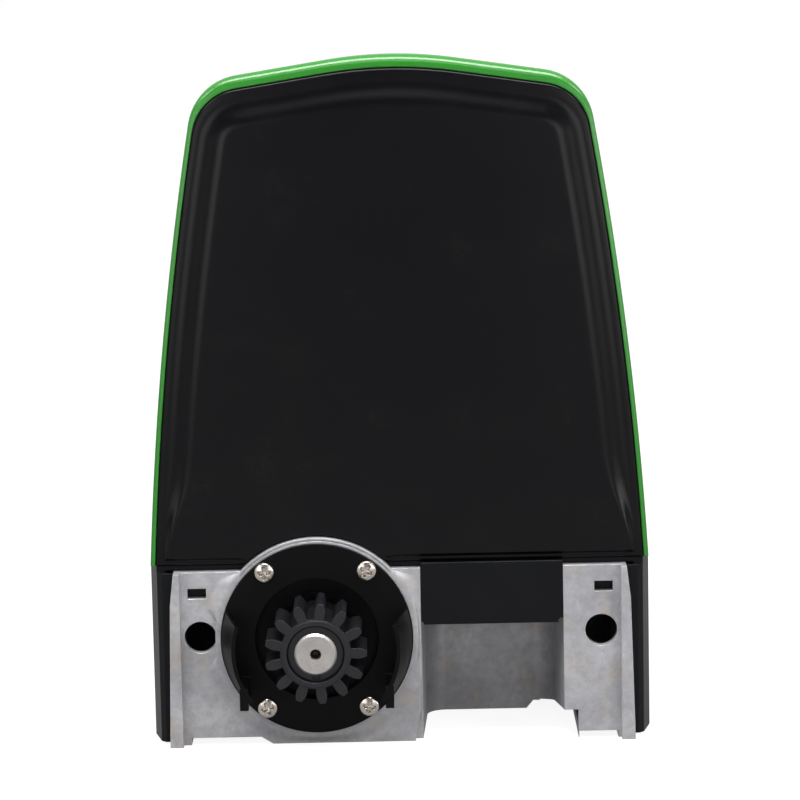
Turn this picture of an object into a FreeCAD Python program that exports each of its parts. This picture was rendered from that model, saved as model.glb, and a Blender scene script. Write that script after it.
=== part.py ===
import FreeCAD, Part
import math
import os

# Sliding gate motor.
#
# Die-cast gear case with a rack pinion, worm drive, dog clutch and release door, a 12 V motor, battery and
# controller on a plastic chassis, under a lift-off cover.
#
# Millimetres. X runs along the gate, -Y points at the gate (pinion side), +Z is up. The origin lies on the
# base plane, under the middle of the body.


# ---------------------------------------------------------------- driving dimensions (mm, degrees)
# output drive
PINION_MODULE = 4.0
PINION_TEETH = 13
PINION_PRESSURE_ANGLE = 14.5
PINION_TOOTH = 6.2           # tooth thickness at the pitch line
PINION_TOOTH_FOOT = 5.6      # and at the root
PINION_ROOT_RADIUS = 20.8
TOOTH_TIP_ROUND = 0.8
PINION_WIDTH = 31.0
PINION_PROUD = 42.0          # pinion face in front of the boss face
SHAFT_RADIUS = 12.5
SHAFT_TIP = 1.5              # shaft end beyond the pinion face
SHAFT_TAIL_RADIUS = 10.0
PINION_RECESS = 4.0
COLLAR_RADIUS = 20.0
KEY_WIDTH = 8.0
KEY_HEIGHT = 7.0
KEY_LENGTH = 24.0
KEY_START = 6.0              # behind the pinion face
AXIS_X = -50.0               # output shaft axis
AXIS_Z = 65.0
# worm drive
WORM_MODULE = 2.5
WHEEL_TEETH = 30
WORM_PITCH_RADIUS = 12.5
WHEEL_WIDTH = 18.0
MESH_PLAY = 0.36             # taken off each tooth's thickness at the pitch line
WORM_TURNS = 6
WORM_SHAFT_RADIUS = 7.5
# clutch and release
CLUTCH_TRAVEL = 5.0
CLUTCH_DOGS = 4
CROSS_PIN_RADIUS = 2.5
ROD_RADIUS = 5.0
HINGE_Y = 97.0               # release door's hinge axis
HUB_RADIUS = 12.0
CAM_START = 7.0
DOOR_THICKNESS = 6.0
DOOR_SPAN = 84.0
DOOR_LOW = 32.0
DOOR_HIGH = 92.0
HINGE_PIN_RADIUS = 3.0
LOCK_X = AXIS_X + 66.0
LOCK_Z = 62.0
LOCK_RADIUS = 8.0
TONGUE_REACH = 24.0          # lock tongue, from the lock's axis
TONGUE_HALF = 5.0
TONGUE_THICKNESS = 3.0
# die-cast base
BOSS_Y = -100.0              # face that carries the pinion guard
PLATE_Y = -98.0              # rear faces of the plate and column
PLATE_THICKNESS = 6.0
BASE_HEIGHT = 105.7
BASE_HALF = 131.0            # to the inside of the outer ridges
RIDGE_PROUD = 6.0
RIDGE_FOOT_HALF = BASE_HALF + 8.0
RIDGE_KNEE_HALF = BASE_HALF + 5.8
RIDGE_TOP_HALF = BASE_HALF + 3.5
RIDGE_KNEE_Z = 86.5
BASE_FRONT_Y = 84.0
WALL = 4.0
FLOOR = 8.0
PLATE_RIGHT_X = 12.0         # where the plate ends and the pocket begins
COLUMN_LEFT_X = 97.0
POCKET_DEPTH = 73.0
POCKET_CORNER = 12.0
BOSS_RING_RADIUS = 60.5
SIDE_HOLE_X = 119.4
SIDE_HOLE_RADIUS = 9.6
SIDE_HOLE_Z = 66.0
TAB_SLOT_X = 121.0
TAB_SLOT_Z = 92.7
TAB_SLOT_WIDTH = 11.2
TAB_SLOT_HEIGHT = 6.1
NOTCH_LEFT_X = -126.5         # shallow notch under the plate's left end
NOTCH_RIGHT_X = -84.7
NOTCH_RUN_OUT = 7.1
NOTCH_HEIGHT = 4.4
PLATE_TAPER = ((0.0, 58.0), (1.8, 16.0), (4.3, 0.0))    # cut off the plate's right edge at each height
CABLE_HOLE_RADIUS = 18.0
CABLE_X = 66.0
CABLE_Y = 40.0
# foundation slots
SLOT_X = 116.0
SLOT_SPACING_Y = 140.0
SLOT_CENTRE_Y = -5.0
SLOT_RADIUS = 6.0
SLOT_LENGTH = 20.0
# gear case
CASE_RADIUS = 49.0
CASE_CAVITY_RADIUS = 42.5
CASE_REAR_Y = -40.0
CASE_LID_Y = 24.0
TOWER_RADIUS = 22.0
TOWER_HEAD_RADIUS = 27.0
TOWER_TOP_Z = 116.0
WORM_BORE_RADIUS = 17.5
# bearings: outer radius, inner radius, width
FRONT_BEARING = (26.0, 12.5, 15.0)
REAR_BEARING = (23.5, 10.0, 14.0)
WORM_BEARING = (17.5, 7.5, 11.0)
SEAL_WIDTH = 7.0
LID_SCREW_ANGLES = (30, 90, 150, 210, 270, 330)
# pinion guard
GUARD_RADIUS = 57.3
GUARD_OPENING = 36.7
GUARD_THICKNESS = 3.0
GUARD_WALL = 2.2
WING_REACH = 35.0
WING_FRONT_RADIUS = 49.5
WING_TOP_ANGLE = 18.0
WING_LOW_ANGLE = -39.0
LEG_REACH = 45.3              # outer face of a leg, from the output axis
LEG_THICKNESS = 5.0
LEG_LOW = 35.0
GUARD_SCREW_X = 30.25
GUARD_SCREW_Z = 41.25
RECESS_DEPTH = 16.0
# chassis
DECK_THICKNESS = 3.0
SKIRT_HALF = BASE_HALF + 18.4
SKIRT_REAR_Y = -95.0
SKIRT_FRONT_Y = 109.0
SKIRT_WALL = 3.0
SKIRT_FOOT_Z = 1.5
SKIRT_TAPER = 4.6             # drawn in towards the rear, over this length
SKIRT_TAPER_LENGTH = 21.0
SKIRT_REAR_CORNER = 3.0
SKIRT_FRONT_CORNER = 42.0
# cover
COVER_TOP_Z = 410.0
COVER_HALF = SKIRT_HALF - 1.0   # half width at the seam
COVER_LEAN = 0.055           # inward slope of the sides at the seam
COVER_BOW = 4400.0           # twice the radius that the sides bend to above it
COVER_REAR_Y = -93.0
COVER_WALL = 2.8
COVER_REAR_LIP = 3.0         # rim round the back panel, at the sides
COVER_LIP_DEPTH = 8.0
COVER_TOP_LIP = 7.6
ROOF_SLOPE = 0.152           # fall of the roof to each side
ROOF_FALL = 0.06             # fall of the roof towards the front
ROOF_BLEND = 255.0
ROOF_CORNER = 34.0
FRONT_FOOT_Y = 112.0
FRONT_LEAN = 0.02
FRONT_BOW = 3000.0
COVER_CORNER = 42.0
PANEL_THICKNESS = 4.0
PANEL_EDGE = 1.6             # radius of the panel's rear edge
PANEL_BAND = 2.8             # flat border round the raised field
PANEL_STEP = 4.0             # height of the raised field
PANEL_FIELD_EDGE = 3.8
# electrical pieces
MOTOR_RADIUS = 38.0
MOTOR_LENGTH = 112.0
MOTOR_CAP_LENGTH = 16.0
MOTOR_FLANGE = 6.0
BATTERY_LENGTH = 151.0
BATTERY_WIDTH = 65.0
BATTERY_HEIGHT = 94.0
BOX_WIDTH = 140.0
BOX_HEIGHT = 140.0
BOX_DEPTH = 34.0
BOX_LOW_Z = 182.0
BUTTON_RADIUS = 5.0
BUTTON_SPACING = 22.0
BUTTON_TRAVEL = 1.0
# clearances
RUNNING = 0.05               # radial, shafts in their bearings and bushes
GAP = 0.3                    # between pieces that only pass each other
SCREW_PLAY = 0.1

# ---------------------------------------------------------------- places worked out from them
DECK_Z = BASE_HEIGHT + DECK_THICKNESS
SEAM_Z = DECK_Z + GAP
CENTRE_DISTANCE = WORM_MODULE * WHEEL_TEETH / 2 + WORM_PITCH_RADIUS
WORM_X = AXIS_X + CENTRE_DISTANCE
WORM_LEAD = math.pi * WORM_MODULE
WHEEL_PITCH_RADIUS = WORM_MODULE * WHEEL_TEETH / 2
PINION_FACE_Y = BOSS_Y - PINION_PROUD
KEY_Y = PINION_FACE_Y + KEY_START
SHAFT_END_Y = CASE_LID_Y + REAR_BEARING[2]
PINION_TIP_RADIUS = PINION_MODULE * (PINION_TEETH + 2) / 2
RECESS_Y = BOSS_Y + RECESS_DEPTH
SEAL_Y = RECESS_Y - 4.5
FRONT_BEARING_Y = SEAL_Y + SEAL_WIDTH
REAR_BEARING_Y = CASE_LID_Y
HUB_REAR_Y = -WHEEL_WIDTH / 2 - 3.0
CLUTCH_WIDTH = 10.0
CLUTCH_Y = HUB_REAR_Y - GAP - CLUTCH_WIDTH
CROSS_PIN_Y = CLUTCH_Y + CLUTCH_WIDTH / 2
LOWER_BEARING_Z = 17.0
UPPER_BEARING_Z = TOWER_TOP_Z - WORM_BEARING[2] - 1.0
MOTOR_Z = TOWER_TOP_Z + MOTOR_FLANGE
PLATE_BACK_Y = PLATE_Y + PLATE_THICKNESS
POCKET_BACK_Y = PLATE_Y + POCKET_DEPTH
ROD_TIP_Y = HINGE_Y - CAM_START - GAP
TONGUE_Y = HINGE_Y + HUB_RADIUS - DOOR_THICKNESS - 2 * TONGUE_THICKNESS
BOX_REAR_Y = 50.0
BATTERY_X = 52.0
BATTERY_Y = -80.0


# ---------------------------------------------------------------- building blocks
def vec(x, y, z):
    return FreeCAD.Vector(x, y, z)


def box(x0, x1, y0, y1, z0, z1):
    return Part.makeBox(x1 - x0, y1 - y0, z1 - z0, vec(x0, y0, z0))


def rod_x(radius, x0, x1, y, z):
    return Part.makeCylinder(radius, x1 - x0, vec(x0, y, z), vec(1, 0, 0))


def rod_y(radius, y0, y1, x=AXIS_X, z=AXIS_Z):
    return Part.makeCylinder(radius, y1 - y0, vec(x, y0, z), vec(0, 1, 0))


def rod_z(radius, z0, z1, x, y):
    return Part.makeCylinder(radius, z1 - z0, vec(x, y, z0))


def ring_y(outer, inner, y0, y1, x=AXIS_X, z=AXIS_Z):
    return rod_y(outer, y0, y1, x, z).cut(rod_y(inner, y0 - 1, y1 + 1, x, z))


def ring_z(outer, inner, z0, z1, x, y):
    return rod_z(outer, z0, z1, x, y).cut(rod_z(inner, z0 - 1, z1 + 1, x, y))


def prism_x(points, x0, x1):
    """Solid whose outline in Y and Z is carried along X."""
    wire = Part.makePolygon([vec(x0, y, z) for y, z in points + points[:1]])
    return Part.Face(wire).extrude(vec(x1 - x0, 0, 0))


def prism_y(points, y0, y1):
    """Solid whose outline in X and Z is carried along Y."""
    wire = Part.makePolygon([vec(x, y0, z) for x, z in points + points[:1]])
    return Part.Face(wire).extrude(vec(0, y1 - y0, 0))


def prism_z(points, z0, z1):
    """Solid whose outline in X and Y is carried along Z."""
    wire = Part.makePolygon([vec(x, y, z0) for x, y in points + points[:1]])
    return Part.Face(wire).extrude(vec(0, 0, z1 - z0))


def fused(first, *others):
    return first.multiFuse(list(others)).removeSplitter()


def mirrored_x(shape):
    return shape.mirror(vec(0, 0, 0), vec(1, 0, 0))


def both_sides(shape):
    return [shape, mirrored_x(shape)]


def edges_along(shape, axis, test):
    """Straight edges parallel to an axis whose middle passes the test."""
    found = []
    for edge in shape.Edges:
        ends = edge.Vertexes
        if len(ends) != 2:
            continue
        along = ends[1].Point.sub(ends[0].Point)
        if along.Length < 1e-6 or abs(abs(along.normalize().dot(axis)) - 1) > 1e-6:
            continue
        if test(edge.CenterOfMass):
            found.append(edge)
    return found


def turned_y(shape, degrees, x=AXIS_X, z=AXIS_Z):
    """Copy turned about a line along Y; a positive turn lifts the +X side, as seen looking along +Y."""
    copy = shape.copy()
    copy.rotate(vec(x, 0, z), vec(0, 1, 0), -degrees)
    return copy


def slot_y(radius, length, x, y, z0, z1):
    """Slot with round ends that runs along Y."""
    reach = length / 2 - radius
    return fused(box(x - radius, x + radius, y - reach, y + reach, z0, z1),
                 rod_z(radius, z0, z1, x, y - reach), rod_z(radius, z0, z1, x, y + reach))


def bearing(ring, start, size):
    """Sealed ball bearing: outer race, inner race and the shield ring between them."""
    outer, inner, width = size
    race = (outer - inner) * 0.24
    return Part.makeCompound([
        ring(outer, outer - race, start, start + width),
        ring(inner + race, inner + RUNNING, start, start + width),
        ring(outer - race, inner + race, start + 1, start + width - 1)])


def pan_screw(radius, head_radius, head_height, length):
    """Pan-head screw along Z, its head up, its seat at z = 0."""
    low = rod_z(head_radius, 0, head_height * 0.5, 0, 0)
    crown = Part.makeCone(head_radius, head_radius * 0.7, head_height * 0.5, vec(0, 0, head_height * 0.5))
    return fused(low, crown, rod_z(radius, -length, 0, 0, 0))


def place_screw(screw, x, y, z, direction):
    """Screw moved so that its head points along the direction."""
    copy = screw.copy()
    turn = FreeCAD.Rotation(vec(0, 0, 1), direction)
    copy.Placement = FreeCAD.Placement(vec(x, y, z), turn)
    return copy


# ---------------------------------------------------------------- output drive
def pinion_outline(y):
    """Closed wire of the pinion in the XZ plane about the output axis, with involute flanks as arcs."""
    pitch_radius = PINION_MODULE * PINION_TEETH / 2
    slope = math.radians(PINION_PRESSURE_ANGLE)
    base_radius = pitch_radius * math.cos(slope)

    def flank_angle(radius):
        pressure = math.acos(base_radius / radius)
        rolled = math.tan(pressure) - pressure
        at_pitch = math.tan(slope) - slope
        return PINION_TOOTH / (2 * pitch_radius) + at_pitch - rolled

    def point(radius, angle):
        return vec(AXIS_X + radius * math.cos(angle), y, AXIS_Z + radius * math.sin(angle))

    shoulder = PINION_TIP_RADIUS - TOOTH_TIP_ROUND
    radii = [base_radius, (base_radius + shoulder) / 2, shoulder]
    foot_angle = PINION_TOOTH_FOOT / (2 * PINION_ROOT_RADIUS)
    crown_angle = flank_angle(shoulder) - TOOTH_TIP_ROUND / PINION_TIP_RADIUS
    corner_angle = crown_angle + (flank_angle(shoulder) - crown_angle) * math.sin(math.pi / 4)
    corner_radius = shoulder + TOOTH_TIP_ROUND * math.sin(math.pi / 4)
    edges = []
    for tooth in range(PINION_TEETH):
        middle = 2 * math.pi * tooth / PINION_TEETH
        rising = [point(r, middle - flank_angle(r)) for r in radii]
        falling = [point(r, middle + flank_angle(r)) for r in reversed(radii)]
        crown = [point(PINION_TIP_RADIUS, middle + turn) for turn in (-crown_angle, 0, crown_angle)]
        corner = [point(corner_radius, middle + side * corner_angle) for side in (-1, 1)]
        root_in = point(PINION_ROOT_RADIUS, middle - foot_angle)
        root_out = point(PINION_ROOT_RADIUS, middle + foot_angle)
        valley = point(PINION_ROOT_RADIUS, middle + math.pi / PINION_TEETH)
        next_root = point(PINION_ROOT_RADIUS, middle + 2 * math.pi / PINION_TEETH - foot_angle)
        edges += [Part.makeLine(root_in, rising[0]), Part.Arc(*rising).toShape(),
                  Part.Arc(rising[2], corner[0], crown[0]).toShape(), Part.Arc(*crown).toShape(),
                  Part.Arc(crown[2], corner[1], falling[0]).toShape(),
                  Part.Arc(*falling).toShape(), Part.makeLine(falling[2], root_out),
                  Part.Arc(root_out, valley, next_root).toShape()]
    return Part.Wire(edges)


def key_block(play):
    """Key on top of the shaft; the play is added all round for the keyway."""
    return box(AXIS_X - KEY_WIDTH / 2 - play, AXIS_X + KEY_WIDTH / 2 + play, KEY_Y - play, KEY_Y + KEY_LENGTH + play,
               AXIS_Z + SHAFT_RADIUS - KEY_HEIGHT / 2 - play, AXIS_Z + SHAFT_RADIUS + KEY_HEIGHT / 2 + play)


def make_pinion():
    gear = Part.Face(pinion_outline(PINION_FACE_Y)).extrude(vec(0, PINION_WIDTH, 0))
    collar = rod_y(COLLAR_RADIUS, PINION_FACE_Y - 0.8, PINION_FACE_Y + PINION_WIDTH + 6)
    body = fused(gear, collar)
    body = body.cut(rod_y(SHAFT_RADIUS + RUNNING, PINION_FACE_Y - 5, 0))
    body = body.cut(rod_y(COLLAR_RADIUS - 3, PINION_FACE_Y - 5, PINION_FACE_Y + PINION_RECESS))
    keyway = key_block(RUNNING)
    return body.cut(keyway)


def make_retaining_ring():
    seat = PINION_FACE_Y + PINION_RECESS - 2.2
    clip = ring_y(SHAFT_RADIUS + 3.6, SHAFT_RADIUS - 0.9, seat, seat + 1.8)
    mouth = box(AXIS_X - 2.5, AXIS_X + 2.5, seat - 1, seat + 3, AXIS_Z - 30, AXIS_Z - 9)
    ears = [ring_y(2.0, 0.8, seat, seat + 1.8, AXIS_X + side * 4.2, AXIS_Z - SHAFT_RADIUS - 1.2) for side in (-1, 1)]
    return fused(clip.cut(mouth), *ears)


def make_output_shaft():
    tip_y = PINION_FACE_Y - SHAFT_TIP
    main = rod_y(SHAFT_RADIUS, tip_y, CASE_LID_Y - 2)
    main = main.makeChamfer(1.2, [e for e in main.Edges if abs(e.CenterOfMass.y - tip_y) < 1e-3])
    shaft = fused(main, rod_y(SHAFT_TAIL_RADIUS, CASE_LID_Y - 3, SHAFT_END_Y))
    centre = Part.makeCone(3.4, 1.4, 3.2, vec(AXIS_X, tip_y, AXIS_Z), vec(0, 1, 0))
    pilot = rod_y(1.4, tip_y, tip_y + 6)
    bore = rod_y(ROD_RADIUS + RUNNING, CROSS_PIN_Y - CROSS_PIN_RADIUS - CLUTCH_TRAVEL - 2, SHAFT_END_Y + 1)
    window_start = CROSS_PIN_Y - CROSS_PIN_RADIUS - CLUTCH_TRAVEL - GAP
    window = box(AXIS_X - 20, AXIS_X + 20, window_start, CROSS_PIN_Y + CROSS_PIN_RADIUS + GAP,
                 AXIS_Z - CROSS_PIN_RADIUS - RUNNING, AXIS_Z + CROSS_PIN_RADIUS + RUNNING)
    groove_y = PINION_FACE_Y + PINION_RECESS - 2.2
    groove = ring_y(SHAFT_RADIUS + 1, SHAFT_RADIUS - 0.9, groove_y, groove_y + 1.8)
    for tool in (centre, pilot, bore, window, groove, key_block(0)):
        shaft = shaft.cut(tool)
    return shaft


def make_oil_seal():
    case = ring_y(FRONT_BEARING[0], SHAFT_RADIUS + 2.5, SEAL_Y, SEAL_Y + SEAL_WIDTH)
    lip = ring_y(SHAFT_RADIUS + 3, SHAFT_RADIUS + RUNNING, SEAL_Y + 1, SEAL_Y + 4)
    return fused(case, lip)


def wheel_outline(y, lean):
    """Closed outline of the worm wheel's teeth at one end face, turned by the lean angle."""
    thickness = WORM_LEAD / 2 - MESH_PLAY
    taper = math.tan(math.radians(20))
    levels = [(-WORM_MODULE * 1.2, 1), (WORM_MODULE, 1), (WORM_MODULE, -1), (-WORM_MODULE * 1.2, -1)]
    points = []
    for tooth in range(WHEEL_TEETH):
        middle = 2 * math.pi * tooth / WHEEL_TEETH - lean
        for height, side in levels:
            radius = WHEEL_PITCH_RADIUS + height
            angle = middle - side * (thickness / 2 - height * taper) / radius
            points.append(vec(AXIS_X + radius * math.cos(angle), y, AXIS_Z + radius * math.sin(angle)))
    return Part.makePolygon(points + points[:1])


def make_worm_wheel():
    """Bronze wheel with leaning teeth, a hub on each side and slots for the clutch dogs in its gate-side hub."""
    half = WHEEL_WIDTH / 2
    lean = half * WORM_LEAD / (2 * math.pi * WORM_PITCH_RADIUS) / WHEEL_PITCH_RADIUS
    teeth = Part.makeLoft([wheel_outline(-half, -lean), wheel_outline(half, lean)], True, True)
    hub = rod_y(22, HUB_REAR_Y, CASE_LID_Y - 4.5)
    web = ring_y(WHEEL_PITCH_RADIUS - 8, 25, -half - 1, -half + 5)
    web_front = ring_y(WHEEL_PITCH_RADIUS - 8, 25, half - 5, half + 1)
    wheel = fused(teeth, hub).cut(web).cut(web_front)
    wheel = wheel.cut(rod_y(SHAFT_RADIUS + RUNNING, -60, 60))
    for index in range(CLUTCH_DOGS):
        slot = dog(HUB_REAR_Y - 1, HUB_REAR_Y + 4.2, 0.35)
        wheel = wheel.cut(turned_y(slot, 45 + index * 360 / CLUTCH_DOGS))
    return wheel


def dog(y0, y1, play):
    """One clutch dog, a block at the right of the axis, with play added round it."""
    return box(AXIS_X + 14 - play, AXIS_X + 20 + play, y0, y1, AXIS_Z - 3.5 - play, AXIS_Z + 3.5 + play)


def make_clutch_ring():
    ring = rod_y(21, CLUTCH_Y, CLUTCH_Y + CLUTCH_WIDTH)
    for index in range(CLUTCH_DOGS):
        ring = ring.fuse(turned_y(dog(CLUTCH_Y + CLUTCH_WIDTH - 1, HUB_REAR_Y + 3.6, 0), 45 + index * 360 / CLUTCH_DOGS))
    ring = ring.cut(rod_y(SHAFT_RADIUS + RUNNING, -60, 60))
    return ring.cut(rod_x(CROSS_PIN_RADIUS, AXIS_X - 30, AXIS_X + 30, CROSS_PIN_Y, AXIS_Z)).removeSplitter()


def make_cross_pin():
    return rod_x(CROSS_PIN_RADIUS, AXIS_X - 19, AXIS_X + 19, CROSS_PIN_Y, AXIS_Z)


SPRING_STOP_Y = CLUTCH_Y - 13.0


def make_clutch_spring():
    """Wave spring as three flat turns, at its compressed length against the stop ring."""
    turns = [ring_y(18, SHAFT_RADIUS + 0.8, SPRING_STOP_Y + 2 + n * 2.2, SPRING_STOP_Y + 3.6 + n * 2.2) for n in range(3)]
    links = box(AXIS_X + 13.5, AXIS_X + 17.8, SPRING_STOP_Y + 2, SPRING_STOP_Y + 7.9, AXIS_Z - 2, AXIS_Z + 2)
    return fused(turns[0], turns[1], turns[2], links)


def make_spring_stop():
    return ring_y(19, SHAFT_RADIUS, SPRING_STOP_Y, SPRING_STOP_Y + 2)


def make_thrust_washer():
    return ring_y(18, SHAFT_RADIUS, CASE_LID_Y - 4.5, CASE_LID_Y - 3)


def make_worm():
    """Single-start worm on its shaft, with the coupling square for the motor on top."""
    root = WORM_PITCH_RADIUS - WORM_MODULE * 1.2
    start = AXIS_Z - WORM_TURNS / 2 * WORM_LEAD
    helix = Part.makeHelix(WORM_LEAD, WORM_TURNS * WORM_LEAD, WORM_PITCH_RADIUS)
    thickness = WORM_LEAD / 2 - MESH_PLAY
    taper = math.tan(math.radians(20))
    corners = []
    for height, side in ((-WORM_MODULE * 1.2 - 0.3, -1), (WORM_MODULE, -1), (WORM_MODULE, 1),
                         (-WORM_MODULE * 1.2 - 0.3, 1)):
        corners.append(vec(WORM_PITCH_RADIUS + height, 0, side * (thickness / 2 - height * taper)))
    profile = Part.makePolygon(corners + corners[:1])
    thread = Part.Wire(helix).makePipeShell([profile], True, True)
    thread.translate(vec(WORM_X, 0, start))
    core = rod_z(root, start - 4, start + WORM_TURNS * WORM_LEAD + 4, WORM_X, 0)
    shaft = rod_z(WORM_SHAFT_RADIUS, LOWER_BEARING_Z, TOWER_TOP_Z - 0.5, WORM_X, 0)
    socket = box(WORM_X - 3, WORM_X + 3, -3, 3, TOWER_TOP_Z - 14, TOWER_TOP_Z)
    return core.fuse(thread).fuse(shaft).cut(socket).removeSplitter()


# ---------------------------------------------------------------- die-cast base
def pocket_tool():
    """Open space of the deep rear pocket, with drafted sides and round inner corners."""
    draft = POCKET_DEPTH * math.tan(math.radians(3))
    outline = [(PLATE_RIGHT_X, PLATE_Y - 20), (PLATE_RIGHT_X, PLATE_Y), (PLATE_RIGHT_X + draft, POCKET_BACK_Y),
               (COLUMN_LEFT_X - draft, POCKET_BACK_Y), (COLUMN_LEFT_X, PLATE_Y), (COLUMN_LEFT_X, PLATE_Y - 20)]
    tool = prism_z(outline, -5, BASE_HEIGHT + 5)
    corners = edges_along(tool, vec(0, 0, 1), lambda middle: middle.y > PLATE_Y + 5)
    return tool.makeFillet(POCKET_CORNER, corners)


def pocket_wall():
    """The pocket's walls: its outline grown by the wall, open at the rear."""
    draft = POCKET_DEPTH * math.tan(math.radians(3))
    outline = [(PLATE_RIGHT_X - WALL, PLATE_Y), (PLATE_RIGHT_X + draft - WALL, POCKET_BACK_Y + WALL),
               (COLUMN_LEFT_X - draft + WALL, POCKET_BACK_Y + WALL), (COLUMN_LEFT_X + WALL, PLATE_Y)]
    wall = prism_z(outline, 0, BASE_HEIGHT)
    corners = edges_along(wall, vec(0, 0, 1), lambda middle: middle.y > PLATE_Y + 5)
    return wall.makeFillet(POCKET_CORNER + WALL, corners)


def ridge_and_side():
    """Right side wall with the ridge that stands proud of the rear face; its top corner is cut back."""
    outline = [(BASE_HALF, 0), (RIDGE_FOOT_HALF, 0), (RIDGE_KNEE_HALF, RIDGE_KNEE_Z), (RIDGE_TOP_HALF, BASE_HEIGHT),
               (BASE_HALF, BASE_HEIGHT)]
    return prism_y(outline, PLATE_Y - RIDGE_PROUD, BASE_FRONT_Y)


def guard_screw_places():
    return [(AXIS_X + i * GUARD_SCREW_X, AXIS_Z + j * GUARD_SCREW_Z) for i in (-1, 1) for j in (-1, 1)]


def lid_screw_places():
    places = []
    for angle in LID_SCREW_ANGLES:
        turn = math.radians(angle)
        places.append((AXIS_X + (CASE_RADIUS - 1) * math.cos(turn), AXIS_Z + (CASE_RADIUS - 1) * math.sin(turn)))
    return places


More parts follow.
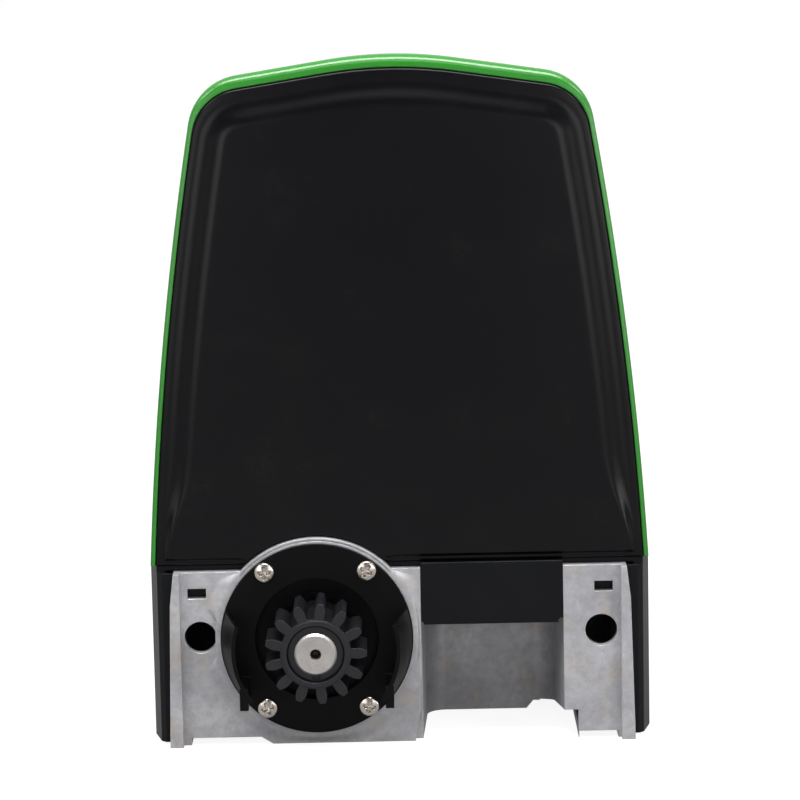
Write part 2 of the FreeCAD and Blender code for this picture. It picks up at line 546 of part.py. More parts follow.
def make_base_casting():
    height = BASE_HEIGHT
    floor = box(-BASE_HALF, BASE_HALF, PLATE_Y, BASE_FRONT_Y, 0, FLOOR)
    plate = box(-BASE_HALF, PLATE_RIGHT_X, PLATE_Y, PLATE_BACK_Y, 0, height)
    column = box(COLUMN_LEFT_X, BASE_HALF, PLATE_Y, PLATE_BACK_Y, 0, height)
    front = box(-BASE_HALF, BASE_HALF, BASE_FRONT_Y - WALL, BASE_FRONT_Y, 0, height)
    ring = rod_y(BOSS_RING_RADIUS, BOSS_Y, PLATE_BACK_Y)
    ring = ring.cut(box(-200, 100, COVER_REAR_Y - 2 * GAP, PLATE_BACK_Y + 1, height, height + 60))
    cup = rod_y(GUARD_OPENING + 6, PLATE_BACK_Y - 1, RECESS_Y + 3).common(box(-200, 100, -200, 0, 0, height))
    neck = rod_y(FRONT_BEARING[0] + 6, RECESS_Y - 4, CASE_REAR_Y + 2)
    case = rod_y(CASE_RADIUS, CASE_REAR_Y, CASE_LID_Y)
    tower = rod_z(TOWER_RADIUS, 0, TOWER_TOP_Z, WORM_X, 0)
    head = rod_z(TOWER_HEAD_RADIUS, TOWER_TOP_Z - 14, TOWER_TOP_Z, WORM_X, 0)
    feet = [box(x - 4, x + 4, CASE_REAR_Y, CASE_LID_Y, 2, 30) for x in (AXIS_X - 25, AXIS_X, AXIS_X + 25)]
    ears = [rod_y(5.5, CASE_LID_Y - 16, CASE_LID_Y, x, z) for x, z in lid_screw_places()]
    body = fused(floor, plate, column, front, pocket_wall(), ring, cup, neck, case, tower, head, *feet, *ears,
                 *both_sides(ridge_and_side()))
    left_notch = [(NOTCH_LEFT_X, -1), (NOTCH_LEFT_X, NOTCH_HEIGHT), (NOTCH_RIGHT_X, NOTCH_HEIGHT),
                  (NOTCH_RIGHT_X + NOTCH_RUN_OUT, 0), (NOTCH_RIGHT_X + NOTCH_RUN_OUT, -1)]
    plate_edge = [(PLATE_RIGHT_X - cut, z) for cut, z in PLATE_TAPER]
    plate_edge += [(PLATE_RIGHT_X - PLATE_TAPER[-1][0], -1), (PLATE_RIGHT_X + 1, -1), (PLATE_RIGHT_X + 1, PLATE_TAPER[0][1])]
    foot_notch = [(PLATE_Y - 1, -1), (PLATE_Y - 1, 17.5), (POCKET_BACK_Y + WALL, 5), (POCKET_BACK_Y + WALL + 22, -1)]
    back_notch = [(COLUMN_LEFT_X - 21, -1), (COLUMN_LEFT_X - 16, 5), (COLUMN_LEFT_X, 5), (COLUMN_LEFT_X, -1)]
    inside = [
        pocket_tool(),
        rod_y(GUARD_OPENING + 1.8, BOSS_Y - 1, RECESS_Y).cut(rod_y(FRONT_BEARING[0] + 5, BOSS_Y + 11, RECESS_Y + 1)),
        rod_y(FRONT_BEARING[0], BOSS_Y - 1, FRONT_BEARING_Y + FRONT_BEARING[2]),
        rod_y(FRONT_BEARING[0] - 4, FRONT_BEARING_Y, CASE_REAR_Y + 10),
        rod_y(CASE_CAVITY_RADIUS, CASE_REAR_Y + 5, CASE_LID_Y + 1),
        rod_z(WORM_BORE_RADIUS, LOWER_BEARING_Z, TOWER_TOP_Z + 1, WORM_X, 0),
        prism_y(left_notch, PLATE_Y - 1, PLATE_Y + 26),
        prism_y(plate_edge, PLATE_Y - 1, PLATE_BACK_Y),
        box(105.6, 129, PLATE_Y - 1, PLATE_Y + 26, -1, 4.2),
        prism_x(foot_notch, COLUMN_LEFT_X - 12, COLUMN_LEFT_X + 8.3),
        rod_y(SIDE_HOLE_RADIUS, PLATE_Y - 1, PLATE_BACK_Y + 1, -SIDE_HOLE_X, SIDE_HOLE_Z),
        rod_y(SIDE_HOLE_RADIUS, PLATE_Y - 1, PLATE_BACK_Y + 1, SIDE_HOLE_X, SIDE_HOLE_Z),
        rod_z(CABLE_HOLE_RADIUS, -1, FLOOR + 1, CABLE_X, CABLE_Y),
        rod_y(ROD_RADIUS + 3, BASE_FRONT_Y - WALL - 1, BASE_FRONT_Y + 1),
        prism_y(back_notch, POCKET_BACK_Y - 6, POCKET_BACK_Y + WALL + 30),
    ]
    for side in (-1, 1):
        x = side * TAB_SLOT_X
        inside.append(box(x - TAB_SLOT_WIDTH / 2, x + TAB_SLOT_WIDTH / 2, PLATE_Y - 1, PLATE_BACK_Y + 1,
                          TAB_SLOT_Z - TAB_SLOT_HEIGHT / 2, TAB_SLOT_Z + TAB_SLOT_HEIGHT / 2))
        for y in (SLOT_CENTRE_Y - SLOT_SPACING_Y / 2, SLOT_CENTRE_Y + SLOT_SPACING_Y / 2):
            inside.append(slot_y(SLOT_RADIUS, SLOT_LENGTH, side * SLOT_X, y, -1, FLOOR + 1))
    inside.append(ring_y(BOSS_RING_RADIUS - 1.3, BOSS_RING_RADIUS - 1.9, BOSS_Y - 1, BOSS_Y + 0.6))
    for x, z in guard_screw_places():
        inside.append(rod_y(3 + SCREW_PLAY, BOSS_Y - 1, BOSS_Y + 7, x, z))
    for x, z in lid_screw_places():
        inside.append(rod_y(2 + SCREW_PLAY, CASE_LID_Y - 11, CASE_LID_Y + 1, x, z))
    for x, y in motor_screw_places():
        inside.append(rod_z(2.5 + SCREW_PLAY, TOWER_TOP_Z - 13, TOWER_TOP_Z + 1, x, y))
    for tool in inside:
        body = body.cut(tool)
    return body.removeSplitter()


def make_cable_grommet():
    x, y = CABLE_X, CABLE_Y
    lower = ring_z(CABLE_HOLE_RADIUS - SCREW_PLAY, 14, 1, FLOOR + 0.5, x, y)
    flange = ring_z(CABLE_HOLE_RADIUS + 3, 14, FLOOR, FLOOR + 3, x, y)
    return fused(lower, flange)


# ---------------------------------------------------------------- gear case lid
def make_gearbox_lid():
    disc = rod_y(CASE_RADIUS, CASE_LID_Y + 0.5, CASE_LID_Y + 6)
    ears = [rod_y(5.5, CASE_LID_Y + 0.5, CASE_LID_Y + 6, x, z) for x, z in lid_screw_places()]
    boss = rod_y(REAR_BEARING[0] + 4, CASE_LID_Y + 0.5, CASE_LID_Y + REAR_BEARING[2] + 3)
    ribs = [turned_y(box(AXIS_X - 2, AXIS_X + 2, CASE_LID_Y + 5, CASE_LID_Y + 12, AXIS_Z + 20, AXIS_Z + 44), angle)
            for angle in (0, 60, 120, 180, 240, 300)]
    lid = fused(disc, boss, *ears, *ribs)
    lid = lid.cut(rod_y(REAR_BEARING[0], CASE_LID_Y - 1, CASE_LID_Y + REAR_BEARING[2]))
    lid = lid.cut(rod_y(ROD_RADIUS + 2, CASE_LID_Y, CASE_LID_Y + 40))
    for x, z in lid_screw_places():
        lid = lid.cut(rod_y(2 + SCREW_PLAY, CASE_LID_Y, CASE_LID_Y + 10, x, z))
    return lid.removeSplitter()


def make_lid_gasket():
    return ring_y(CASE_RADIUS - 4, CASE_CAVITY_RADIUS, CASE_LID_Y, CASE_LID_Y + 0.5)


def make_lid_screws():
    screw = pan_screw(2, 3.6, 2.4, 15)
    return Part.makeCompound([place_screw(screw, x, CASE_LID_Y + 6, z, vec(0, 1, 0)) for x, z in lid_screw_places()])


# ---------------------------------------------------------------- pinion guard
def make_pinion_guard():
    """Flange ring with a sleeve into the recess, two side wings and a leg below each wing."""
    face = BOSS_Y - GUARD_THICKNESS
    flange = rod_y(GUARD_RADIUS, face, BOSS_Y)
    sleeve = rod_y(GUARD_OPENING + 1.5, BOSS_Y - 1, BOSS_Y + 8.4)
    boss = ring_y(FRONT_BEARING[0] + 1, FRONT_BEARING[0] - 2, BOSS_Y + 3.5, BOSS_Y + 7.5)
    body = fused(flange, sleeve).cut(rod_y(GUARD_OPENING, face - 1, BOSS_Y + 6.4))
    body = body.fuse(boss).cut(rod_y(SHAFT_RADIUS + 9, face - 1, BOSS_Y + 9))
    front = BOSS_Y - WING_REACH
    section = Part.makePolygon([vec(AXIS_X + GUARD_RADIUS, BOSS_Y - 1, AXIS_Z),
                                vec(AXIS_X + GUARD_RADIUS - GUARD_WALL, BOSS_Y - 1, AXIS_Z),
                                vec(AXIS_X + WING_FRONT_RADIUS - GUARD_WALL, front, AXIS_Z),
                                vec(AXIS_X + WING_FRONT_RADIUS, front, AXIS_Z),
                                vec(AXIS_X + GUARD_RADIUS, BOSS_Y - 1, AXIS_Z)])
    wing = Part.Face(section).revolve(vec(AXIS_X, 0, AXIS_Z), vec(0, -1, 0), WING_TOP_ANGLE - WING_LOW_ANGLE)
    wing = turned_y(wing, WING_LOW_ANGLE)
    leg = box(AXIS_X + LEG_REACH - LEG_THICKNESS, AXIS_X + LEG_REACH, front, BOSS_Y - 1, AXIS_Z - LEG_LOW, AXIS_Z - 22)
    right = fused(wing, leg)
    left = right.mirror(vec(AXIS_X, 0, 0), vec(1, 0, 0))
    body = fused(body, right, left)
    for x, z in guard_screw_places():
        body = body.cut(rod_y(3 + GAP, face - 1, BOSS_Y + 1, x, z))
    return body


def make_guard_screws():
    screw = pan_screw(3, 6, 4, 9)
    return Part.makeCompound([place_screw(screw, x, BOSS_Y - GUARD_THICKNESS, z, vec(0, -1, 0))
                              for x, z in guard_screw_places()])


# ---------------------------------------------------------------- motor
def motor_screw_places():
    spread = (WORM_BEARING[0] + TOWER_HEAD_RADIUS) / 2 / math.sqrt(2)
    return [(WORM_X + i * spread, j * spread) for i in (-1, 1) for j in (-1, 1)]


def make_motor_flange():
    plate = box(WORM_X - 31, WORM_X + 31, -31, 31, TOWER_TOP_Z, MOTOR_Z)
    plate = plate.makeFillet(12, edges_along(plate, vec(0, 0, 1), lambda middle: True))
    plate = plate.cut(rod_z(9, TOWER_TOP_Z - 1, MOTOR_Z + 1, WORM_X, 0))
    for x, y in motor_screw_places():
        plate = plate.cut(rod_z(2.5 + SCREW_PLAY, TOWER_TOP_Z - 1, MOTOR_Z + 1, x, y))
        plate = plate.cut(rod_z(5, MOTOR_Z - 3.2, MOTOR_Z + 1, x, y))
    return plate


def make_motor_screws():
    screw = pan_screw(2.5, 4.6, 3, 14)
    return Part.makeCompound([place_screw(screw, x, y, MOTOR_Z - 3.2, vec(0, 0, 1)) for x, y in motor_screw_places()])


def make_motor_can():
    top = MOTOR_Z + MOTOR_LENGTH
    can = rod_z(MOTOR_RADIUS, MOTOR_Z, top, WORM_X, 0)
    can = can.makeFillet(3, [e for e in can.Edges if abs(e.CenterOfMass.z - MOTOR_Z) < 1e-3])
    bead = ring_z(MOTOR_RADIUS + 1, MOTOR_RADIUS - 1.2, top - 12, top - 8, WORM_X, 0)
    return fused(can, bead).cut(rod_z(16, MOTOR_Z - 1, MOTOR_Z + 1.5, WORM_X, 0))


def make_motor_end_cap():
    base = MOTOR_Z + MOTOR_LENGTH
    cap = rod_z(MOTOR_RADIUS - 1, base, base + MOTOR_CAP_LENGTH, WORM_X, 0)
    cap = cap.makeFillet(4, [e for e in cap.Edges if abs(e.CenterOfMass.z - base - MOTOR_CAP_LENGTH) < 1e-3])
    tower = rod_z(12, base + MOTOR_CAP_LENGTH - 1, base + MOTOR_CAP_LENGTH + 6, WORM_X, 0)
    brushes = [box(WORM_X + s * 27 - 7, WORM_X + s * 27 + 7, -8, 8, base + 2, base + MOTOR_CAP_LENGTH + 3) for s in (-1, 1)]
    return fused(cap, tower, *brushes)


def make_motor_terminals():
    base = MOTOR_Z + MOTOR_LENGTH + MOTOR_CAP_LENGTH + 3
    return Part.makeCompound([box(WORM_X + s * 27 - 3.2, WORM_X + s * 27 + 3.2, -0.4, 0.4, base, base + 8) for s in (-1, 1)])


# ---------------------------------------------------------------- release door and lock
def make_release_rod():
    start = CROSS_PIN_Y + CROSS_PIN_RADIUS + GAP
    rod = rod_y(ROD_RADIUS, start, ROD_TIP_Y - 8)
    nose = rod_y(ROD_RADIUS / 2, ROD_TIP_Y - 9, ROD_TIP_Y)
    nose = nose.makeFillet(ROD_RADIUS * 0.45, [e for e in nose.Edges if e.BoundBox.YMin > ROD_TIP_Y - 0.01])
    return fused(rod, nose)


def make_rod_bush():
    tube = rod_y(ROD_RADIUS + 3 - SCREW_PLAY, BASE_FRONT_Y - WALL - 4, BASE_FRONT_Y)
    flange = rod_y(ROD_RADIUS + 6, BASE_FRONT_Y - WALL - 4, BASE_FRONT_Y - WALL)
    return fused(tube, flange).cut(rod_y(ROD_RADIUS + RUNNING, 0, 120))


def cam_profile(z0, z1):
    """Spiral cam about the hinge: its radius grows evenly by the clutch travel over the door's quarter turn."""
    points = []
    for step in range(13):
        share = step / 12
        angle = math.radians(-80 - share * 110)
        radius = CAM_START + CLUTCH_TRAVEL * min(max((share * 110 - 10) / 90, 0), 1)
        points.append((AXIS_X + radius * math.cos(angle), HINGE_Y + radius * math.sin(angle)))
    points += [(AXIS_X - HUB_RADIUS, HINGE_Y + 3), (AXIS_X, HINGE_Y + HUB_RADIUS - 1), (AXIS_X + 7, HINGE_Y + 6)]
    return prism_z(points, z0, z1)


def make_release_door():
    """Door plate with its hinge barrel; the barrel's middle is cut down to a spiral cam."""
    low, high = DOOR_LOW, DOOR_HIGH
    face = HINGE_Y + HUB_RADIUS
    barrel = rod_z(HUB_RADIUS, low, high, AXIS_X, HINGE_Y)
    plate = box(AXIS_X, AXIS_X + DOOR_SPAN, face - DOOR_THICKNESS, face, low, high)
    plate = plate.makeFillet(4, edges_along(plate, vec(0, 1, 0), lambda middle: middle.x > AXIS_X + 20))
    waist = ring_z(HUB_RADIUS + 1, 4, AXIS_Z - 9, AXIS_Z + 9, AXIS_X, HINGE_Y)
    door = fused(barrel.cut(waist), plate, cam_profile(AXIS_Z - 7, AXIS_Z + 7))
    grip = box(AXIS_X + DOOR_SPAN - 14, AXIS_X + DOOR_SPAN + 1, face - 1.6, face + 1, low + 18, high - 18)
    door = door.cut(rod_z(HINGE_PIN_RADIUS + RUNNING, low - 1, high + 1, AXIS_X, HINGE_Y)).cut(grip)
    return door.cut(rod_y(LOCK_RADIUS + RUNNING, face - 20, face + 5, LOCK_X, LOCK_Z)).removeSplitter()


def make_hinge_pin():
    return rod_z(HINGE_PIN_RADIUS, DOOR_LOW - 4, DOOR_HIGH + 4, AXIS_X, HINGE_Y)


def make_lock_barrel():
    """Lock plug with a key slot, and its tongue, which points up while the lock is open."""
    face = HINGE_Y + HUB_RADIUS
    plug = rod_y(LOCK_RADIUS, TONGUE_Y + TONGUE_THICKNESS, face + 0.4, LOCK_X, LOCK_Z)
    tongue = box(LOCK_X - TONGUE_HALF, LOCK_X + TONGUE_HALF, TONGUE_Y, TONGUE_Y + TONGUE_THICKNESS,
                 LOCK_Z - TONGUE_HALF - 1, LOCK_Z + TONGUE_REACH)
    key_slot = box(LOCK_X - 0.9, LOCK_X + 0.9, face - 5, face + 2, LOCK_Z - 4.5, LOCK_Z + 4.5)
    return fused(plug, tongue).cut(key_slot)


# ---------------------------------------------------------------- chassis
def rounded_plan(half, rear, front, front_corner, z0, z1, bulge):
    """Upright solid on a plan with a slightly bowed front and round front corners."""
    edges = [Part.makeLine(vec(half, front, z0), vec(half, rear, z0)),
             Part.makeLine(vec(half, rear, z0), vec(-half, rear, z0)),
             Part.makeLine(vec(-half, rear, z0), vec(-half, front, z0)),
             Part.Arc(vec(-half, front, z0), vec(0, front + bulge, z0), vec(half, front, z0)).toShape()]
    solid = Part.Face(Part.Wire(edges)).extrude(vec(0, 0, z1 - z0))
    return solid.makeFillet(front_corner, edges_along(solid, vec(0, 0, 1), lambda middle: middle.y > 0))


def skirt_block(inset, z0, z1):
    """Upright solid on the skirt's plan: drawn in towards the rear, with round front corners and a bowed front."""
    half, rear, front = SKIRT_HALF - inset, SKIRT_REAR_Y + inset, SKIRT_FRONT_Y - 4 - inset
    rear_half = half - SKIRT_TAPER
    places = [(half, front), (half, SKIRT_REAR_Y + SKIRT_TAPER_LENGTH), (rear_half, rear + SKIRT_REAR_CORNER),
              (rear_half - SKIRT_REAR_CORNER, rear)]
    places += [(-x, y) for x, y in reversed(places)]
    corners = [vec(x, y, z0) for x, y in places]
    edges = [Part.makeLine(a, b) for a, b in zip(corners, corners[1:])]
    edges.append(Part.Arc(corners[-1], vec(0, front + 4, z0), corners[0]).toShape())
    solid = Part.Face(Part.Wire(edges)).extrude(vec(0, 0, z1 - z0))
    return solid.makeFillet(SKIRT_FRONT_CORNER - inset, edges_along(solid, vec(0, 0, 1), lambda middle: middle.y > 0))


def make_chassis():
    """Skirt, deck, apron over the pocket, snap tabs, and the recess that the release door lies in."""
    shell = skirt_block(0, SKIRT_FOOT_Z, DECK_Z).cut(skirt_block(SKIRT_WALL, SKIRT_FOOT_Z - 1, BASE_HEIGHT))
    rear_gap = prism_y([(RIDGE_FOOT_HALF + GAP, -1), (RIDGE_KNEE_HALF + GAP, RIDGE_KNEE_Z),
                        (RIDGE_TOP_HALF + GAP, BASE_HEIGHT), (-RIDGE_TOP_HALF - GAP, BASE_HEIGHT),
                        (-RIDGE_KNEE_HALF - GAP, RIDGE_KNEE_Z), (-RIDGE_FOOT_HALF - GAP, -1)],
                       SKIRT_REAR_Y - 20, BASE_FRONT_Y + GAP)
    shell = shell.cut(rear_gap)
    shell = shell.cut(box(-200, 200, -200, PLATE_BACK_Y + GAP, BASE_HEIGHT - 1, DECK_Z + 1))
    opening = fused(box(AXIS_X - CASE_RADIUS - 5, WORM_X, CASE_REAR_Y - 4, 45, BASE_HEIGHT - 1, DECK_Z + 1),
                    box(WORM_X - 1, WORM_X + TOWER_HEAD_RADIUS + 1.5, 0, 45, BASE_HEIGHT - 1, DECK_Z + 1),
                    rod_z(TOWER_HEAD_RADIUS + 1.5, BASE_HEIGHT - 1, DECK_Z + 1, WORM_X, 0))
    apron_left, apron_right = PLATE_RIGHT_X + GAP, COLUMN_LEFT_X - GAP
    apron = box(apron_left, apron_right, PLATE_Y + 0.6, PLATE_Y + 3.6, 71, DECK_Z)
    for x in (apron_left, apron_right):
        apron = apron.cut(turned_y(box(x - 1.6, x + 1.6, PLATE_Y - 2, PLATE_Y + 5, 70, 74), 45, x, 71))
    apron_top = box(apron_left, apron_right, PLATE_Y + 0.6, PLATE_BACK_Y + 6, BASE_HEIGHT, DECK_Z)
    tabs = [box(s * TAB_SLOT_X - 7, s * TAB_SLOT_X + 7, PLATE_BACK_Y + GAP, PLATE_BACK_Y + GAP + 3, 84, DECK_Z) for s in (-1, 1)]
    shell = fused(shell.cut(opening), apron, apron_top, *tabs)
    # recess for the release door
    low, high = DOOR_LOW - 1, DOOR_HIGH + 1
    left, right = AXIS_X - HUB_RADIUS - 1, AXIS_X + DOOR_SPAN + 1
    back = BASE_FRONT_Y + GAP
    frame = box(left - 3, right + 3, back, SKIRT_FRONT_Y, low - 3, high + 3)
    shell = shell.fuse(frame).cut(box(left, right, back - 1, SKIRT_FRONT_Y + 20, low, high))
    shell = shell.cut(rod_z(HINGE_PIN_RADIUS, DOOR_LOW - 4, DOOR_HIGH + 4, AXIS_X, HINGE_Y))
    keeper = box(right - 1, right + 4, TONGUE_Y - GAP, TONGUE_Y + TONGUE_THICKNESS + GAP,
                 LOCK_Z - TONGUE_HALF - 2, LOCK_Z + TONGUE_REACH * 0.75)
    shell = shell.cut(keeper)
    for x, y in chassis_screw_places():
        shell = shell.cut(rod_z(2 + SCREW_PLAY, BASE_HEIGHT - 1, DECK_Z + 1, x, y))
    return shell.removeSplitter()


def chassis_screw_places():
    return [(s * (BASE_HALF + 1.6), y) for s in (-1, 1) for y in (-70, 70)]


def make_chassis_screws():
    screw = pan_screw(1.6, 3.4, 2.2, DECK_THICKNESS)
    return Part.makeCompound([place_screw(screw, x, y, DECK_Z, vec(0, 0, 1)) for x, y in chassis_screw_places()])


# ---------------------------------------------------------------- cover
def cover_half(z, inset):
    """Half width of the cover at a height: a lean plus a gentle bow inward."""
    rise = z - SEAM_Z
    return COVER_HALF - COVER_LEAN * rise - rise * rise / COVER_BOW - inset


def cover_front(z, inset):
    """Front of the cover at a height: a lean plus a bow backward."""
    rise = z - SEAM_Z
    return FRONT_FOOT_Y - FRONT_LEAN * rise - rise * rise / FRONT_BOW - inset


def plan_wire(z, inset, rear):
    """Plan outline of the cover at one height."""
    solid = rounded_plan(cover_half(z, inset), rear, cover_front(z, inset) - 6, COVER_CORNER - inset, z, z + 1, 6)
    face = min(solid.Faces, key=lambda f: f.CenterOfMass.z)
    return face.OuterWire


def roof_block(inset):
    """Everything below the roof: two slopes with a broad round ridge, falling towards the front."""
    reach = 220.0
    ends = []
    for y in (COVER_REAR_Y - 40, FRONT_FOOT_Y + 40):
        peak = COVER_TOP_Z + ROOF_BLEND * ROOF_SLOPE ** 2 / 2 - inset - ROOF_FALL * (y - COVER_REAR_Y)
        tangent = ROOF_BLEND * ROOF_SLOPE
        eave = peak - ROOF_SLOPE * reach
        near = peak - ROOF_SLOPE * tangent
        crown = peak - ROOF_SLOPE * tangent / 2
        edges = [Part.makeLine(vec(-reach, y, eave), vec(-tangent, y, near)),
                 Part.Arc(vec(-tangent, y, near), vec(0, y, crown), vec(tangent, y, near)).toShape(),
                 Part.makeLine(vec(tangent, y, near), vec(reach, y, eave)),
                 Part.makeLine(vec(reach, y, eave), vec(reach, y, 0)),
                 Part.makeLine(vec(reach, y, 0), vec(-reach, y, 0)),
                 Part.makeLine(vec(-reach, y, 0), vec(-reach, y, eave))]
        ends.append(Part.Wire(edges))
    return Part.makeLoft(ends, True, True)


def cover_body(inset, rear, low):
    """Solid hood: plan outlines lofted upwards, cut by the roof and rounded along the roof's edge."""
    rise = COVER_TOP_Z - SEAM_Z
    heights = [low, SEAM_Z + rise / 3, SEAM_Z + rise * 2 / 3, COVER_TOP_Z + 30]
    hood = Part.makeLoft([plan_wire(z, inset, rear) for z in heights], True, False)
    hood = hood.common(roof_block(inset))
    roof_edges = []
    for edge in hood.Edges:
        middle = edge.valueAt((edge.FirstParameter + edge.LastParameter) / 2)
        ends = [vertex.Point for vertex in edge.Vertexes]
        level = min(point.z for point in ends + [middle])
        along_ridge = max(abs(point.x) for point in ends) - min(abs(point.x) for point in ends) < 0.01
        if level > COVER_TOP_Z - 70 and middle.y > rear + 1 and not (along_ridge and abs(middle.x) < 60 and middle.y < 60):
            roof_edges.append(edge)
    return hood, roof_edges


def panel_outline(inset, top_inset, y0, y1, low=SEAM_Z):
    """The back panel's form carried along Y, from the cover's own outline with its own insets."""
    peak = COVER_TOP_Z + ROOF_BLEND * ROOF_SLOPE ** 2 / 2 - top_inset
    top = peak - ROOF_SLOPE * cover_half(COVER_TOP_Z - 30, inset)
    mid = (low + top) / 2
    half_low, half_mid, half_top = cover_half(low, inset), cover_half(mid, inset), cover_half(top, inset)
    edges = [Part.Arc(vec(half_low, y0, low), vec(half_mid, y0, mid), vec(half_top, y0, top)).toShape(),
             Part.makeLine(vec(half_top, y0, top), vec(0, y0, peak)),
             Part.makeLine(vec(0, y0, peak), vec(-half_top, y0, top)),
             Part.Arc(vec(-half_top, y0, top), vec(-half_mid, y0, mid), vec(-half_low, y0, low)).toShape(),
             Part.makeLine(vec(-half_low, y0, low), vec(half_low, y0, low))]
    solid = Part.Face(Part.Wire(edges)).extrude(vec(0, y1 - y0, 0))
    ridge = edges_along(solid, vec(0, 1, 0), lambda middle: abs(middle.x) < 1 and middle.z > mid)
    solid = solid.makeFillet(ROOF_BLEND - 20, ridge)
    corners = edges_along(solid, vec(0, 1, 0), lambda middle: abs(middle.x) > 90 and middle.z > mid)
    return solid.makeFillet(ROOF_CORNER - inset, corners)


def make_cover_shell():
    outer, outer_edges = cover_body(0, COVER_REAR_Y, SEAM_Z)
    inner, inner_edges = cover_body(COVER_WALL, COVER_REAR_Y + COVER_LIP_DEPTH, SEAM_Z - 5)
    outer = outer.makeFillet(ROOF_CORNER, outer_edges)
    inner = inner.makeFillet(ROOF_CORNER - COVER_WALL, inner_edges)
    shell = outer.cut(inner)
    opening = panel_outline(COVER_REAR_LIP, COVER_TOP_LIP, COVER_REAR_Y - 5, COVER_REAR_Y + COVER_LIP_DEPTH, SEAM_Z - 8)
    return shell.cut(opening)


def rounded_rear(solid, rear, radius):
    """Rounds every edge of a plate's rear face."""
    return solid.makeFillet(radius, [edge for edge in solid.Edges if edge.BoundBox.YMax < rear + 0.01])


def make_back_panel():
    """Flat flange with a raised field, which is cut back round the boss ring."""
    side, top = COVER_REAR_LIP + GAP, COVER_TOP_LIP + GAP
    flange = panel_outline(side, top, COVER_REAR_Y, COVER_REAR_Y + PANEL_THICKNESS)
    face = COVER_REAR_Y - PANEL_STEP
    field = panel_outline(side + PANEL_BAND, top + PANEL_BAND, face, COVER_REAR_Y + 1, SEAM_Z + PANEL_BAND)
    field = rounded_rear(field, face, PANEL_FIELD_EDGE)
    field = field.cut(rod_y(BOSS_RING_RADIUS + 1, face - 1, COVER_REAR_Y))
    return rounded_rear(flange, COVER_REAR_Y, PANEL_EDGE).fuse(field).removeSplitter()


# ---------------------------------------------------------------- electrical pieces
def make_battery():
    x, y, z = BATTERY_X, BATTERY_Y, DECK_Z
    body = box(x, x + BATTERY_WIDTH, y, y + BATTERY_LENGTH, z, z + BATTERY_HEIGHT)
    body = body.makeFillet(3, edges_along(body, vec(0, 0, 1), lambda middle: True))
    step = box(x - 1, x + 16, y + 8, y + BATTERY_LENGTH - 8, z + BATTERY_HEIGHT - 5, z + BATTERY_HEIGHT + 1)
    return body.cut(step)


def battery_terminal_places():
    return [(BATTERY_X + 8, BATTERY_Y + 20), (BATTERY_X + 8, BATTERY_Y + BATTERY_LENGTH - 20)]


def make_battery_terminals():
    z = DECK_Z + BATTERY_HEIGHT - 5
    blades = []
    for x, y in battery_terminal_places():
        blades.append(fused(box(x - 4, x + 4, y - 3.2, y + 3.2, z, z + 0.8), box(x - 4, x - 3.2, y - 3.2, y + 3.2, z, z + 8)))
    return Part.makeCompound(blades)


def make_battery_strap():
    """Strap over the battery, down both sides to the deck."""
    x0, x1 = BATTERY_X - GAP, BATTERY_X + BATTERY_WIDTH + GAP
    top = DECK_Z + BATTERY_HEIGHT + GAP
    y0, y1 = BATTERY_Y + 65, BATTERY_Y + 85
    over = box(x0 - 1.5, x1 + 1.5, y0, y1, DECK_Z, top + 1.5).cut(box(x0, x1, y0 - 1, y1 + 1, DECK_Z - 1, top))
    return over


BRACKET_Y = BOX_REAR_Y - 3.0
BRACKET_X0 = -95.0
BRACKET_X1 = BRACKET_X0 + BOX_WIDTH


def make_control_bracket():
    """Upright sheet that stands on the deck and carries the control box."""
    sheet = box(BRACKET_X0, BRACKET_X1, BRACKET_Y, BRACKET_Y + 2.5, DECK_Z, BOX_LOW_Z + BOX_HEIGHT)
    sheet = sheet.makeFillet(10, edges_along(sheet, vec(0, 1, 0), lambda middle: middle.z > 200))
    foot = box(BRACKET_X0, BRACKET_X1, BRACKET_Y, BRACKET_Y + 14, DECK_Z, DECK_Z + 2.5)
    window = box(BRACKET_X0 + 25, BRACKET_X1 - 25, BRACKET_Y - 1, BRACKET_Y + 4, DECK_Z + 18, BOX_LOW_Z - 12)
    return fused(sheet, foot).cut(window)


def make_control_box():
    x0, x1, z0, z1 = BRACKET_X0, BRACKET_X1, BOX_LOW_Z, BOX_LOW_Z + BOX_HEIGHT
    tray = box(x0, x1, BOX_REAR_Y - 0.5, BOX_REAR_Y + BOX_DEPTH - 8, z0, z1)
    tray = tray.makeFillet(8, edges_along(tray, vec(0, 1, 0), lambda middle: True))
    hollow = box(x0 + 2.5, x1 - 2.5, BOX_REAR_Y + 2, BOX_REAR_Y + BOX_DEPTH, z0 + 2.5, z1 - 2.5)
    hollow = hollow.makeFillet(5.5, edges_along(hollow, vec(0, 1, 0), lambda middle: True))
    posts = [rod_y(3.5, BOX_REAR_Y + 1, BOX_REAR_Y + 8, x, z) for x, z in board_post_places()]
    return fused(tray.cut(hollow), *posts)


def board_post_places():
    x0, x1, z0, z1 = BRACKET_X0, BRACKET_X1, BOX_LOW_Z, BOX_LOW_Z + BOX_HEIGHT
    return [(x, z) for x in (x0 + 12, x1 - 12) for z in (z0 + 12, z1 - 12)]


BOARD_Y = BOX_REAR_Y + 8.0
BOX_LID_Y = BOX_REAR_Y + BOX_DEPTH - 8.0
BUTTON_Z = BOX_LOW_Z + 40.0


def button_places():
    middle = (BRACKET_X0 + BRACKET_X1) / 2
    return [(middle + n * BUTTON_SPACING, BUTTON_Z) for n in (-1, 0, 1)]


